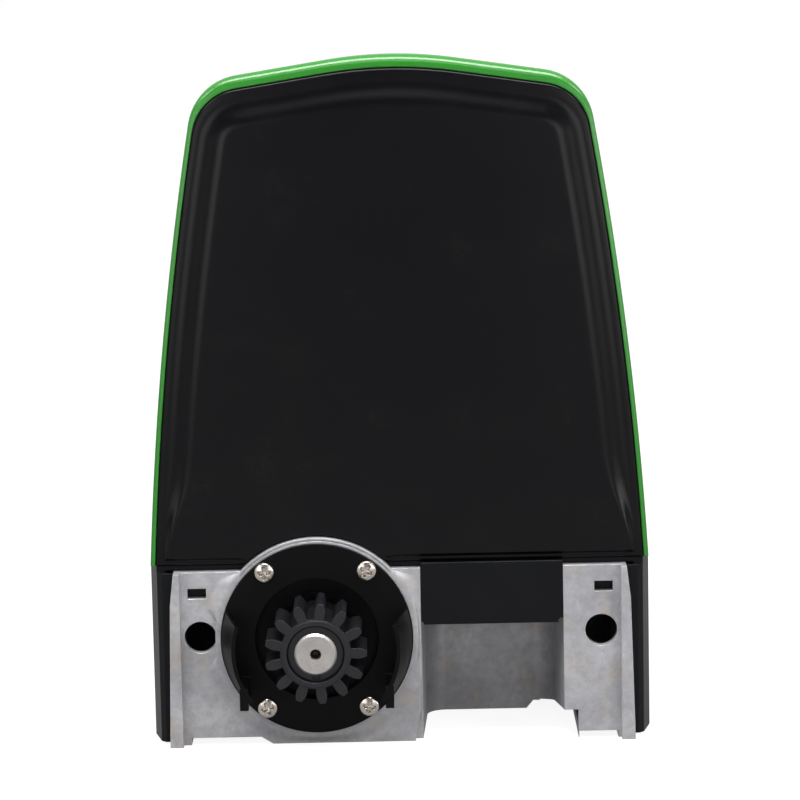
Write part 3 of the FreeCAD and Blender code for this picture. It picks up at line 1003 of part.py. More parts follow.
def make_control_lid():
    """Lid with a skirt round the tray's mouth, a window and the buttons' holes."""
    x0, x1, z0, z1 = BRACKET_X0, BRACKET_X1, BOX_LOW_Z, BOX_LOW_Z + BOX_HEIGHT
    lid = box(x0, x1, BOX_LID_Y, BOX_LID_Y + 8, z0, z1)
    lid = lid.makeFillet(8, edges_along(lid, vec(0, 1, 0), lambda middle: True))
    hollow = box(x0 + 2.5, x1 - 2.5, BOX_LID_Y - 1, BOX_LID_Y + 5.5, z0 + 2.5, z1 - 2.5)
    hollow = hollow.makeFillet(5.5, edges_along(hollow, vec(0, 1, 0), lambda middle: True))
    lid = lid.cut(hollow)
    lid = lid.cut(box(x0 + 35, x1 - 35, BOX_LID_Y, BOX_LID_Y + 10, z0 + 72, z0 + 104))
    for x, z in button_places():
        lid = lid.cut(rod_y(BUTTON_RADIUS + RUNNING, BOX_LID_Y, BOX_LID_Y + 10, x, z))
    return lid


def make_display():
    """Clear pane behind the lid's window, standing on the circuit board."""
    x0, x1, z0 = BRACKET_X0 + 32, BRACKET_X1 - 32, BOX_LOW_Z + 69
    return box(x0, x1, BOARD_Y + 1.6, BOX_LID_Y + 5.2, z0, z0 + 38)


def make_circuit_board():
    x0, x1, z0, z1 = BRACKET_X0 + 5, BRACKET_X1 - 5, BOX_LOW_Z + 5, BOX_LOW_Z + BOX_HEIGHT - 5
    board = box(x0, x1, BOARD_Y, BOARD_Y + 1.6, z0, z1)
    switches = [box(x - 3, x + 3, BOARD_Y + 1, BOX_LID_Y - 0.8 - BUTTON_TRAVEL, z - 3, z + 3) for x, z in button_places()]
    relays = [box(x0 + 6 + n * 20, x0 + 22 + n * 20, BOARD_Y + 1, BOARD_Y + 13, z1 - 22, z1 - 8) for n in range(3)]
    return fused(board, *switches, *relays)


def make_button(index):
    """Push button: a stem through the lid with a collar behind it."""
    x, z = button_places()[index]
    stem = rod_y(BUTTON_RADIUS, BOX_LID_Y - 0.5, BOX_LID_Y + 10, x, z)
    collar = rod_y(BUTTON_RADIUS + 1.5, BOX_LID_Y - 0.5, BOX_LID_Y + 5.2, x, z)
    return fused(stem, collar)


def make_terminal_block():
    x0, z0, y0 = BRACKET_X0 + 78, DECK_Z + 2.5, BRACKET_Y + 2.5
    block = box(x0, x0 + 60, y0, y0 + 14, z0, z0 + 14)
    for n in range(6):
        block = block.cut(rod_z(2.2, z0 + 8, z0 + 20, x0 + 5 + n * 10, y0 + 5))
        block = block.cut(box(x0 + 2.5 + n * 10, x0 + 7.5 + n * 10, y0 + 9, y0 + 15, z0 + 2, z0 + 7))
    return block


def make_transformer():
    """Iron core, winding and its foot, beside the control bracket."""
    x0, y0, z0 = BRACKET_X0, BRACKET_Y + 15.0, DECK_Z
    core = box(x0, x0 + 60, y0, y0 + 22, z0, z0 + 50)
    winding = box(x0 + 10, x0 + 50, y0 - 9, y0 + 31, z0 + 10, z0 + 40)
    winding = winding.makeFillet(5, edges_along(winding, vec(0, 0, 1), lambda middle: True))
    return fused(core, winding)


def make_fuse_holder():
    x0, y0, z0 = BRACKET_X0 + 80, BRACKET_Y + 22.0, DECK_Z
    body = box(x0, x0 + 36, y0, y0 + 14, z0, z0 + 9)
    return body.cut(box(x0 + 3, x0 + 33, y0 + 3, y0 + 11, z0 + 4, z0 + 10))


def make_fuse():
    x0, y, z = BRACKET_X0 + 80, BRACKET_Y + 29.0, DECK_Z + 7.2
    return rod_x(3, x0 + 4, x0 + 32, y, z)


def make_origin_sensor():
    """Magnet sensor on a foot behind the back panel."""
    foot = box(-18, 22, -84, -66, DECK_Z, DECK_Z + 3)
    body = box(-14, 18, -84, -74, DECK_Z + 2, DECK_Z + 34)
    return fused(foot, body)


# ---------------------------------------------------------------- the pieces
def make_front_bearing():
    return bearing(ring_y, FRONT_BEARING_Y, FRONT_BEARING)


def make_rear_bearing():
    return bearing(ring_y, REAR_BEARING_Y, REAR_BEARING)


def worm_ring(outer, inner, z0, z1):
    return ring_z(outer, inner, z0, z1, WORM_X, 0)


def make_worm_lower_bearing():
    return bearing(worm_ring, LOWER_BEARING_Z, WORM_BEARING)


def make_worm_upper_bearing():
    return bearing(worm_ring, UPPER_BEARING_Z, WORM_BEARING)


PIECES = {
    "base_casting": make_base_casting,
    "chassis": make_chassis,
    "cover_shell": make_cover_shell,
    "back_panel": make_back_panel,
    "pinion_guard": make_pinion_guard,
    "guard_screws": make_guard_screws,
    "pinion": make_pinion,
    "pinion_key": lambda: key_block(0),
    "retaining_ring": make_retaining_ring,
    "output_shaft": make_output_shaft,
    "oil_seal": make_oil_seal,
    "front_bearing": make_front_bearing,
    "rear_bearing": make_rear_bearing,
    "worm_wheel": make_worm_wheel,
    "thrust_washer": make_thrust_washer,
    "worm": make_worm,
    "worm_lower_bearing": make_worm_lower_bearing,
    "worm_upper_bearing": make_worm_upper_bearing,
    "gearbox_lid": make_gearbox_lid,
    "lid_gasket": make_lid_gasket,
    "lid_screws": make_lid_screws,
    "clutch_ring": make_clutch_ring,
    "clutch_pin": make_cross_pin,
    "clutch_spring": make_clutch_spring,
    "spring_stop": make_spring_stop,
    "release_rod": make_release_rod,
    "rod_bush": make_rod_bush,
    "release_door": make_release_door,
    "hinge_pin": make_hinge_pin,
    "lock_barrel": make_lock_barrel,
    "motor_flange": make_motor_flange,
    "motor_screws": make_motor_screws,
    "motor_can": make_motor_can,
    "motor_end_cap": make_motor_end_cap,
    "motor_terminals": make_motor_terminals,
    "cable_grommet": make_cable_grommet,
    "chassis_screws": make_chassis_screws,
    "battery": make_battery,
    "battery_terminals": make_battery_terminals,
    "battery_strap": make_battery_strap,
    "control_bracket": make_control_bracket,
    "control_box": make_control_box,
    "control_lid": make_control_lid,
    "display_pane": make_display,
    "circuit_board": make_circuit_board,
    "button_left": lambda: make_button(0),
    "button_middle": lambda: make_button(1),
    "button_right": lambda: make_button(2),
    "terminal_block": make_terminal_block,
    "transformer": make_transformer,
    "fuse_holder": make_fuse_holder,
    "fuse": make_fuse,
    "origin_sensor": make_origin_sensor,
}

os.makedirs("parts", exist_ok=True)
for name, make in PIECES.items():
    piece = make()
    if not piece.isValid():
        print("not valid:", name)
    piece.exportStep("parts/" + name + ".step")
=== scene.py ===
import math

import bmesh
import bpy
import numpy as np
from mathutils import Euler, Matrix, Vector


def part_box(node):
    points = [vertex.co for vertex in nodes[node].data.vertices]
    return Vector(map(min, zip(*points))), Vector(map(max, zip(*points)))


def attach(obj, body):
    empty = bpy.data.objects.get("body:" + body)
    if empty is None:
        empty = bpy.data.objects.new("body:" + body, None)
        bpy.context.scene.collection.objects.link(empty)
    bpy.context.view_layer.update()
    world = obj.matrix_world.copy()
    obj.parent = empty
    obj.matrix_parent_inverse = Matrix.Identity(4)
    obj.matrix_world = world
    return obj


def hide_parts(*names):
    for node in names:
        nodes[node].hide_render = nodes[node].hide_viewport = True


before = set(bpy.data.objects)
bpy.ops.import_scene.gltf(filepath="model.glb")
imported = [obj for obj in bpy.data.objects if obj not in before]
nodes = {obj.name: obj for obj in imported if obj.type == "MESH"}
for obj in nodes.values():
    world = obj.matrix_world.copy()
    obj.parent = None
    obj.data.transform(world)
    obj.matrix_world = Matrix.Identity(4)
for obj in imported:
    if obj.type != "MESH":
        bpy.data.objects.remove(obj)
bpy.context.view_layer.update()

# Sliding gate motor: finishes, detailed pieces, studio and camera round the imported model. Metres, +Z up.

MM = 0.001
WELD = 0.00001               # points nearer than this become one


# ---------------------------------------------------------------- material helpers
def display(red, green, blue):
    """A colour given as it shows on a display, 0 to 255, as the linear colour that a shader takes."""
    share = np.array([red, green, blue]) / 255
    linear = np.where(share <= 0.04045, share / 12.92, ((share + 0.055) / 1.055) ** 2.4)
    return (*linear.tolist(), 1.0)


def put(tree, socket, value):
    """Links a socket to another one's output, or sets its constant."""
    if isinstance(value, bpy.types.NodeSocket):
        tree.links.new(value, socket)
    else:
        socket.default_value = value


def add(tree, kind, settings=None, **inputs):
    """A new node; its settings are properties, and its inputs go by their names with _ for a space."""
    node = tree.nodes.new(kind)
    for name, value in (settings or {}).items():
        setattr(node, name, value)
    for name, value in inputs.items():
        put(tree, node.inputs[name.replace("_", " ")], value)
    return node


def calc(tree, operation, *values):
    """Result of one math node."""
    node = tree.nodes.new("ShaderNodeMath")
    node.operation = operation
    for socket, value in zip(node.inputs, values):
        put(tree, socket, value)
    return node.outputs[0]


def spread(tree, value, low, high, to_low=0.0, to_high=1.0):
    """Maps low..high of a value to to_low..to_high, and holds it there outside."""
    node = tree.nodes.new("ShaderNodeMapRange")
    for socket, number in zip(node.inputs, (value, low, high, to_low, to_high)):
        put(tree, socket, number)
    return node.outputs[0]


def blend_colour(tree, factor, first, second):
    """Mix of two colours by a factor."""
    node = tree.nodes.new("ShaderNodeMix")
    node.data_type = "RGBA"
    put(tree, node.inputs[0], factor)
    put(tree, node.inputs[6], first)
    put(tree, node.inputs[7], second)
    return node.outputs[2]


def tint(tree, shade, mask, share, colour):
    """A shade with a share of a colour laid over it where the mask is."""
    return blend_colour(tree, calc(tree, "MULTIPLY", mask, share), shade, colour)


def scaled(colour, share):
    """A colour made darker or lighter, no part of it above 1."""
    return tuple(min(1.0, part * share) for part in colour[:3]) + (1.0,)


def noise(tree, vector, scale, detail=2.0, roughness=0.5, dimensions="3D"):
    """Value of a noise texture; in 1D the vector is its W."""
    node = add(tree, "ShaderNodeTexNoise", {"noise_dimensions": dimensions},
               Scale=scale, Detail=detail, Roughness=roughness)
    put(tree, node.inputs["W" if dimensions == "1D" else "Vector"], vector)
    return node.outputs[0]


def new_group(name, inputs, outputs):
    """An empty shader node group with float or vector inputs and its in and out nodes."""
    group = bpy.data.node_groups.new(name, "ShaderNodeTree")
    for label, value in inputs.items():
        kind = "NodeSocketVector" if isinstance(value, tuple) else "NodeSocketFloat"
        socket = group.interface.new_socket(name=label, in_out="INPUT", socket_type=kind)
        socket.default_value = value
    for label in outputs:
        kind = "NodeSocketVector" if label == "Normal" else "NodeSocketFloat"
        group.interface.new_socket(name=label, in_out="OUTPUT", socket_type=kind)
    return group, group.nodes.new("NodeGroupInput").outputs, group.nodes.new("NodeGroupOutput").inputs


def place(tree, group, **inputs):
    """The outputs of a node group placed in a material."""
    return add(tree, "ShaderNodeGroup", {"node_tree": group}, **inputs).outputs


def own_place(tree):
    """Object coordinates, in metres."""
    return add(tree, "ShaderNodeTexCoord").outputs["Object"]


# ---------------------------------------------------------------- shared effects
def make_moulded_skin():
    """Spark-eroded skin of a moulding: a fine even grain, and a slow drift of gloss."""
    group, given, out = new_group("moulded skin", {"Grain": 1600.0, "Drift": 9.0}, ["Height", "Drift"])
    at = own_place(group)
    grain = noise(group, at, given["Grain"], 3.0, 0.62)
    put(group, out["Height"], spread(group, grain, 0.25, 0.75))
    put(group, out["Drift"], spread(group, noise(group, at, given["Drift"], 4.0, 0.55), 0.3, 0.7))
    return group


def make_cast_skin():
    """Skin of a die casting: cloudy patches, fine flow speckle and small pits."""
    group, given, out = new_group("cast skin", {"Patch": 38.0, "Speckle": 620.0, "Pits": 420.0},
                                  ["Cloud", "Speckle", "Pit", "Height"])
    at = own_place(group)
    cloud = noise(group, at, given["Patch"], 7.0, 0.62)
    speckle = noise(group, at, given["Speckle"], 3.0, 0.6)
    cells = add(group, "ShaderNodeTexVoronoi", Vector=at, Scale=given["Pits"], Randomness=1.0)
    sparse = spread(group, noise(group, at, 95.0, 2.0), 0.52, 0.62)
    pit = calc(group, "MULTIPLY", spread(group, cells.outputs["Distance"], 0.18, 0.06), sparse)
    put(group, out["Cloud"], spread(group, cloud, 0.32, 0.68))
    put(group, out["Speckle"], spread(group, speckle, 0.3, 0.7))
    put(group, out["Pit"], pit)
    rough = calc(group, "MULTIPLY_ADD", cloud, 0.5, calc(group, "MULTIPLY", speckle, 0.5))
    put(group, out["Height"], calc(group, "SUBTRACT", rough, calc(group, "MULTIPLY", pit, 0.6)))
    return group


def make_soft_edge():
    """Rounded corners in the shading, and a mask of the outer edges that wear first."""
    group, given, out = new_group("soft edge", {"Radius": 0.0006, "Patch": 240.0}, ["Normal", "Wear"])
    rounded = add(group, "ShaderNodeBevel", {"samples": 4}, Radius=given["Radius"]).outputs[0]
    plain = add(group, "ShaderNodeNewGeometry").outputs["Normal"]
    turn = group.nodes.new("ShaderNodeVectorMath")
    turn.operation = "DOT_PRODUCT"
    put(group, turn.inputs[0], rounded)
    put(group, turn.inputs[1], plain)
    edge = spread(group, turn.outputs["Value"], 0.995, 0.86)
    broken = spread(group, noise(group, own_place(group), given["Patch"], 3.0, 0.6), 0.35, 0.6)
    put(group, out["Normal"], rounded)
    put(group, out["Wear"], calc(group, "MULTIPLY", edge, broken))
    return group


def make_turned_marks():
    """Fine rings left by a lathe round an axis along Y, through the given centre."""
    group, given, out = new_group("turned marks", {"Centre": (0.0, 0.0, 0.0), "Pitch": 2600.0},
                                  ["Height", "Reach"])
    shift = group.nodes.new("ShaderNodeVectorMath")
    shift.operation = "SUBTRACT"
    put(group, shift.inputs[0], own_place(group))
    put(group, shift.inputs[1], given["Centre"])
    apart = add(group, "ShaderNodeSeparateXYZ", Vector=shift.outputs[0]).outputs
    squares = calc(group, "ADD", calc(group, "MULTIPLY", apart[0], apart[0]),
                   calc(group, "MULTIPLY", apart[2], apart[2]))
    reach = calc(group, "SQRT", squares)
    put(group, out["Reach"], reach)
    put(group, out["Height"], noise(group, reach, given["Pitch"], 2.0, 0.7, "1D"))
    return group


def make_rub():
    """Handling marks: short thin scratches in two directions and a faint haze of dust."""
    group, given, out = new_group("handling marks", {"Density": 0.5, "Scale": 60.0}, ["Scratch", "Dust"])
    at = own_place(group)
    lines = []
    for angle in (0.5, -0.9):
        turned = add(group, "ShaderNodeMapping", Vector=at)
        turned.inputs["Rotation"].default_value = (angle, angle * 0.7, angle * 1.7)
        turned.inputs["Scale"].default_value = (1.0, 1.0, 26.0)
        streak = noise(group, turned.outputs[0], given["Scale"], 2.0, 0.5)
        lines.append(spread(group, streak, 0.7, 0.76))
    wanted = spread(group, noise(group, at, 14.0, 2.0), 0.5, 0.65)
    both = calc(group, "MULTIPLY", calc(group, "MAXIMUM", *lines), wanted)
    put(group, out["Scratch"], calc(group, "MULTIPLY", both, given["Density"]))
    haze = calc(group, "MULTIPLY", noise(group, at, 1900.0, 2.0, 0.7), noise(group, at, 22.0, 5.0, 0.6))
    put(group, out["Dust"], spread(group, haze, 0.3, 0.48))
    return group


moulded_skin = make_moulded_skin()
cast_skin = make_cast_skin()
soft_edge = make_soft_edge()
turned_marks = make_turned_marks()
rub = make_rub()


# ---------------------------------------------------------------- finishes
# The second of these colours is painted shade: near black, laid into the centre drill of turned steel where
# the hole is in shade.
DUST, HOLE_SHADE, PIT = display(150, 148, 144), display(24, 22, 22), display(110, 108, 108)
SCRATCH, BARE_METAL = display(196, 196, 200), display(226, 227, 230)


def new_material(name, **constants):
    """A material with one Principled shader whose constants are set on its own sockets."""
    material = bpy.data.materials.new(name)
    material.use_nodes = True
    tree = material.node_tree
    shader = tree.nodes["Principled BSDF"]
    for label, value in constants.items():
        shader.inputs[label.replace("_", " ")].default_value = value
    return material, tree, shader.inputs


def bumped(tree, height, depth, normal=None):
    """Normal of a surface with a relief of the given depth in metres."""
    node = add(tree, "ShaderNodeBump", Height=height, Distance=depth, Strength=1.0)
    if normal is not None:
        put(tree, node.inputs["Normal"], normal)
    return node.outputs[0]


def moulding(name, colour, worn, roughness, grain=1600.0, depth=0.00002, edge=0.0005, dust=0.0, **constants):
    """Moulded plastic: eroded grain, gloss that drifts, paler worn edges and a little dust."""
    material, tree, shader = new_material(name, **constants)
    skin = place(tree, moulded_skin, Grain=grain)
    rim = place(tree, soft_edge, Radius=edge)
    marks = place(tree, rub, Density=0.35)
    shade = blend_colour(tree, skin["Drift"], colour, scaled(colour, 0.86))
    shade = tint(tree, shade, rim["Wear"], 0.35, worn)
    shade = tint(tree, shade, marks["Dust"], dust, DUST)
    put(tree, shader["Base Color"], shade)
    gloss = calc(tree, "MULTIPLY_ADD", skin["Drift"], 0.06, roughness - 0.03)
    scratched = calc(tree, "MULTIPLY", marks["Scratch"], 0.08)
    put(tree, shader["Roughness"], calc(tree, "SUBTRACT", gloss, scratched))
    put(tree, shader["Normal"], bumped(tree, skin["Height"], depth, rim["Normal"]))
    return material


def casting(name, light, dark, warm, roughness, depth=0.00006):
    """Raw die-cast aluminium: cloudy greys with warm patches, a mottle, and brighter rubbed edges."""
    material, tree, shader = new_material(name, Metallic=0.3, Specular_IOR_Level=0.5)
    skin = place(tree, cast_skin, Patch=30.0)
    rim = place(tree, soft_edge, Radius=0.0008)
    marks = place(tree, rub, Density=0.35, Scale=46.0)
    shade = blend_colour(tree, skin["Cloud"], light, dark)
    stain = spread(tree, noise(tree, own_place(tree), 62.0, 3.0, 0.55), 0.5, 0.68)
    mottle = spread(tree, noise(tree, own_place(tree), 210.0, 4.0, 0.6), 0.42, 0.66)
    for mask, share, colour in ((stain, 0.75, warm), (mottle, 0.4, scaled(dark, 0.74)),
                                (skin["Speckle"], 0.16, scaled(dark, 0.62)), (skin["Pit"], 0.35, PIT),
                                (marks["Scratch"], 0.4, SCRATCH), (rim["Wear"], 0.85, BARE_METAL)):
        shade = tint(tree, shade, mask, share, colour)
    put(tree, shader["Base Color"], shade)
    gloss = calc(tree, "MULTIPLY_ADD", skin["Cloud"], 0.14, roughness - 0.07)
    rubbed = calc(tree, "MULTIPLY", rim["Wear"], 0.12)
    put(tree, shader["Roughness"], calc(tree, "SUBTRACT", gloss, rubbed))
    put(tree, shader["Normal"], bumped(tree, skin["Height"], depth, rim["Normal"]))
    return material


def machined(name, colour, dark, roughness, centre=(0.0, 0.0, 0.0), pitch=2600.0, metallic=1.0,
             edge=0.0003, drill=0.0):
    """Turned or drawn metal: lathe rings round a centre, a light stain, rubbed edges, and a painted shade,
    near black, standing in for the shade inside a centre drill of the given radius."""
    material, tree, shader = new_material(name, Metallic=metallic)
    turned = place(tree, turned_marks, Centre=centre, Pitch=pitch)
    rings = turned["Height"]
    skin = place(tree, cast_skin, Patch=90.0)
    rim = place(tree, soft_edge, Radius=edge)
    shade = tint(tree, colour, skin["Cloud"], 0.7, dark)
    shade = tint(tree, shade, rim["Wear"], 0.5, scaled(colour, 1.5))
    if drill:
        # painted shade: the centre drill is darkened inside its radius, standing in for the shade inside the
        # hole
        painted_hole_shade = spread(tree, turned["Reach"], drill, drill - 0.0008)
        shade = tint(tree, shade, painted_hole_shade, 0.93, HOLE_SHADE)
    put(tree, shader["Base Color"], shade)
    put(tree, shader["Roughness"], spread(tree, rings, 0.3, 0.7, roughness - 0.06, roughness + 0.08))
    put(tree, shader["Normal"], bumped(tree, rings, 0.00002, rim["Normal"]))
    return material


shaft_low, shaft_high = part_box("output_shaft")
SHAFT_CENTRE = ((shaft_low.x + shaft_high.x) / 2, 0.0, (shaft_low.z + shaft_high.z) / 2)

FINISHES = {
    "cast_aluminium": casting("die-cast aluminium", display(196, 196, 199), display(160, 160, 166),
                              display(182, 172, 163), 0.46),
    "black_plastic": moulding("black chassis plastic", display(11, 12, 15), display(48, 51, 58), 0.32,
                              grain=1500.0, edge=0.0012, dust=0.02, Specular_IOR_Level=0.18),
    "panel_plastic": moulding("black panel plastic", display(8, 8, 11), display(44, 45, 52), 0.2,
                              grain=1900.0, edge=0.0006, dust=0.02, Specular_IOR_Level=0.21),
    "guard_plastic": moulding("black guard plastic", display(6, 6, 7), display(32, 32, 36), 0.4,
                              grain=1500.0, edge=0.0006, dust=0.02, Specular_IOR_Level=0.12),
    "green_plastic": moulding("green cover plastic", display(36, 126, 30), display(92, 176, 84), 0.22,
                              grain=2200.0, depth=0.00001, edge=0.001, Specular_IOR_Level=0.7),
    "zinc_screws": machined("zinc-plated screw steel", display(222, 214, 206), display(168, 158, 150), 0.16),
    "steel": machined("turned steel", display(206, 200, 196), display(172, 168, 165), 0.26, SHAFT_CENTRE,
                      metallic=0.8, drill=0.0034),
    "dark_steel": machined("dark sintered steel", display(31, 31, 36), display(20, 20, 24), 0.4, SHAFT_CENTRE,
                           pitch=1400.0, metallic=0.2, edge=0.0008),
    "bronze": machined("cast bronze", display(176, 132, 70), display(132, 92, 48), 0.34, SHAFT_CENTRE),
    "rubber": moulding("black rubber", display(27, 27, 28), display(60, 60, 60), 0.72,
                       grain=900.0, depth=0.00006, edge=0.0006, dust=0.2),
    "motor_paint": moulding("motor housing paint", display(40, 42, 46), display(130, 130, 134), 0.36,
                            grain=1100.0, depth=0.00005),
    "battery_plastic": moulding("battery case plastic", display(58, 60, 66), display(110, 112, 118), 0.46,
                                grain=1200.0, depth=0.00005, edge=0.0008, dust=0.15),
    "zinc_sheet": machined("zinc-plated sheet", display(190, 190, 186), display(150, 152, 150), 0.34),
    "grey_plastic": moulding("grey control box plastic", display(172, 174, 172), display(205, 206, 204), 0.44,
                             grain=1500.0, depth=0.00003, edge=0.0008, dust=0.1),
    "board": moulding("circuit board lacquer", display(24, 84, 52), display(150, 128, 70), 0.3,
                      grain=2600.0, depth=0.00003),
    "button_plastic": moulding("push button plastic", display(214, 122, 34), display(236, 168, 96), 0.36,
                               grain=1800.0),
    "terminal_plastic": moulding("green terminal plastic", display(46, 128, 70), display(110, 180, 128), 0.4),
    "core_steel": machined("laminated core steel", display(122, 118, 112), display(84, 80, 76), 0.5,
                           pitch=900.0, metallic=0.8),
}


def clear(name, colour, roughness):
    """Clear moulded pane or glass with a faint haze."""
    material, tree, shader = new_material(name, Transmission_Weight=0.85, IOR=1.49)
    skin = place(tree, moulded_skin, Grain=300.0)
    put(tree, shader["Base Color"], blend_colour(tree, skin["Drift"], colour, tuple(c * 0.9 for c in colour)))
    put(tree, shader["Roughness"], spread(tree, skin["Drift"], 0.0, 1.0, roughness, roughness + 0.06))
    return material


FINISHES["clear_pane"] = clear("smoked display pane", display(120, 140, 150), 0.05)
FINISHES["fuse_glass"] = clear("fuse glass", display(225, 230, 226), 0.03)

for piece in nodes.values():
    for held in piece.material_slots:
        held.material = FINISHES[held.material.name]


# ---------------------------------------------------------------- mesh helpers
def quads(rows, columns, first=0, closed=False):
    """Quads of a grid of rows by columns of vertices, numbered row by row; closed joins the last column."""
    across = np.arange(columns if closed else columns - 1)
    nearer = np.arange(rows - 1)[:, None] * columns
    farther = nearer + columns
    beside = (across + 1) % columns
    faces = np.stack([nearer + across, nearer + beside, farther + beside, farther + across], -1)
    return (faces.reshape(-1, 4) + first).tolist()


def upright(loop, y):
    """Points of a loop given by x and z, in an upright plane at one y or at a y for each point."""
    return np.stack([loop[:, 0], np.broadcast_to(y, len(loop)), loop[:, 1]], -1)


def new_piece(name, points, faces, finish, body, replaced=(), sharp=32.0):
    """A smooth mesh piece from millimetre points; coincident points are welded and faces turned outwards."""
    mesh = bpy.data.meshes.new(name)
    mesh.from_pydata((np.asarray(points) * MM).tolist(), [], faces)
    form = bmesh.new()
    form.from_mesh(mesh)
    bmesh.ops.remove_doubles(form, verts=form.verts, dist=WELD)
    bmesh.ops.dissolve_degenerate(form, edges=form.edges, dist=WELD)
    bmesh.ops.recalc_face_normals(form, faces=form.faces)
    form.to_mesh(mesh)
    form.free()
    mesh.shade_smooth()
    mesh.set_sharp_from_angle(angle=math.radians(sharp))
    piece = bpy.data.objects.new(name, mesh)
    bpy.context.scene.collection.objects.link(piece)
    mesh.materials.append(FINISHES[finish])
    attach(piece, body)
    if replaced:
        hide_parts(*replaced)
    return piece


# ---------------------------------------------------------------- cover
def box_mm(node):
    """Low and high corner of a node's box, in millimetres."""
    return [np.array(corner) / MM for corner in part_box(node)]


# Lengths from here on are in millimetres.
shell_low, shell_high = box_mm("cover_shell")
SEAM, TOP, REAR, FRONT = shell_low[2], 410.0, shell_low[1], shell_high[1]
HALF = shell_high[0]
WALL, SIDE_LIP, ROOF_LIP, LIP_DEPTH = 2.8, 3.0, 7.6, 8.0
SIDE_LEAN, SIDE_BEND = 0.055, 4400.0         # of the walls: slope, and twice the radius of the bend
FRONT_LEAN, FRONT_BEND = 0.02, 3000.0
SLOPE, FALL, RIDGE = 0.152, 0.06, 255.0      # roof: slope to the sides, to the front, radius over the ridge
EAVE, EAVE_TURN = 34.0, math.radians(70)     # rounding between wall and roof
PLAN_CORNER, BOW = 42.0, 6.0                 # front corners, and the front's bow
RIDGE_STOP, RIDGE_SPREAD = 75.0, 6.0         # the ridge line's end behind the front, and how far it runs
RIDGE_FROM, RIDGE_OVER = 0.4, 0.12           # shares of the way to the front's middle where it runs so
RIM_SIDE, RIM_TOP = 1.9, 3.7                 # rounding of the rear rim, and what is added to it on top
RIM_EDGE = 0.5                               # flat at the rim's inner edge
GAP = 0.3                                    # between the cover's rim and the back panel
PANEL_THICKNESS, PANEL_EDGE, PANEL_BAND, PANEL_PROUD = 4.0, 1.6, 2.8, 0.8
FIELD_HEIGHT, FIELD_SIDE, FIELD_TOP = 4.0, 1.2, 3.6      # the two last ones are added to the band
FIELD_LOW_RAMP, FIELD_RAMP, RAMP_GROWS = 2.6, 13.4, 60.0     # width at the foot, what the height adds to it
RING_CUT, CUT_EDGE, CORNER_RUN = 61.5, 0.5, 12.0             # cut over the ring, its edge, run at corners
WALL_STEPS, EAVE_STEPS, ROOF_STEPS, RIM_STEPS, RAMP_STEPS = 22, 12, 14, 8, 20


def half_width(z):
    """Half width of the cover: leans in, and a little more with height."""
    rise = z - SEAM
    return HALF - SIDE_LEAN * rise - rise ** 2 / SIDE_BEND


def front_place(z):
    """Place of the front wall in y: leans back in the same way."""
    rise = z - SEAM
    return FRONT - FRONT_LEAN * rise - rise ** 2 / FRONT_BEND


def roof_height(x, y):
    """Two slopes joined by a parabola over the ridge, falling towards the front."""
    side = np.abs(x)
    tangent = RIDGE * SLOPE
    drop = np.where(side < tangent, side ** 2 / (2 * RIDGE), SLOPE * side - SLOPE * tangent / 2)
    return TOP - FALL * (y - REAR) - drop


def plan(share, z, inset):
    """Point of the plan outline at a height, for a share of the way round: left side from the rear to the
    front, corner arc, bowed front, corner arc, right side back. The sides are straight, the front is a
    parabola."""
    share, z = np.broadcast_arrays(np.asarray(share, float), np.asarray(z, float))
    mirrored = share > 0.5
    share = np.where(mirrored, 1 - share, share) * 2
    half = half_width(z) - inset
    corner = PLAN_CORNER - inset
    front = front_place(z) - inset - BOW
    side_end, arc_end = 0.5, 0.75
    along = np.clip(share / side_end, 0, 1)
    turn = np.clip((share - side_end) / (arc_end - side_end), 0, 1) * math.pi / 2
    over = np.clip((share - arc_end) / (1 - arc_end), 0, 1)
    on_side, on_arc = share <= side_end, share <= arc_end
    corner_y = front + BOW * (1 - ((half - corner) / half) ** 2) - corner
    x = np.where(on_side, -half, np.where(on_arc, -half + corner * (1 - np.cos(turn)),
                                          -(half - corner) * (1 - over)))
    arc_y = corner_y + corner * np.sin(turn)
    bow_y = front + BOW * (1 - (x / half) ** 2)
    y = np.where(on_side, REAR + (corner_y - REAR) * along, np.where(on_arc, arc_y, bow_y))
    return np.where(mirrored, -x, x), y


def arc_through(a, b, c, steps, turn):
    """Circular arc that touches the lines a-b and b-c: a rational quadratic whose middle weight is
    cos(turn / 2)."""
    s = np.linspace(0, 1, steps)[None, :, None]
    weight = math.cos(turn / 2)
    low, mid, high = (1 - s) ** 2, 2 * s * (1 - s) * weight, s ** 2
    return (a[:, None] * low + b[:, None] * mid + c[:, None] * high) / (low + mid + high)


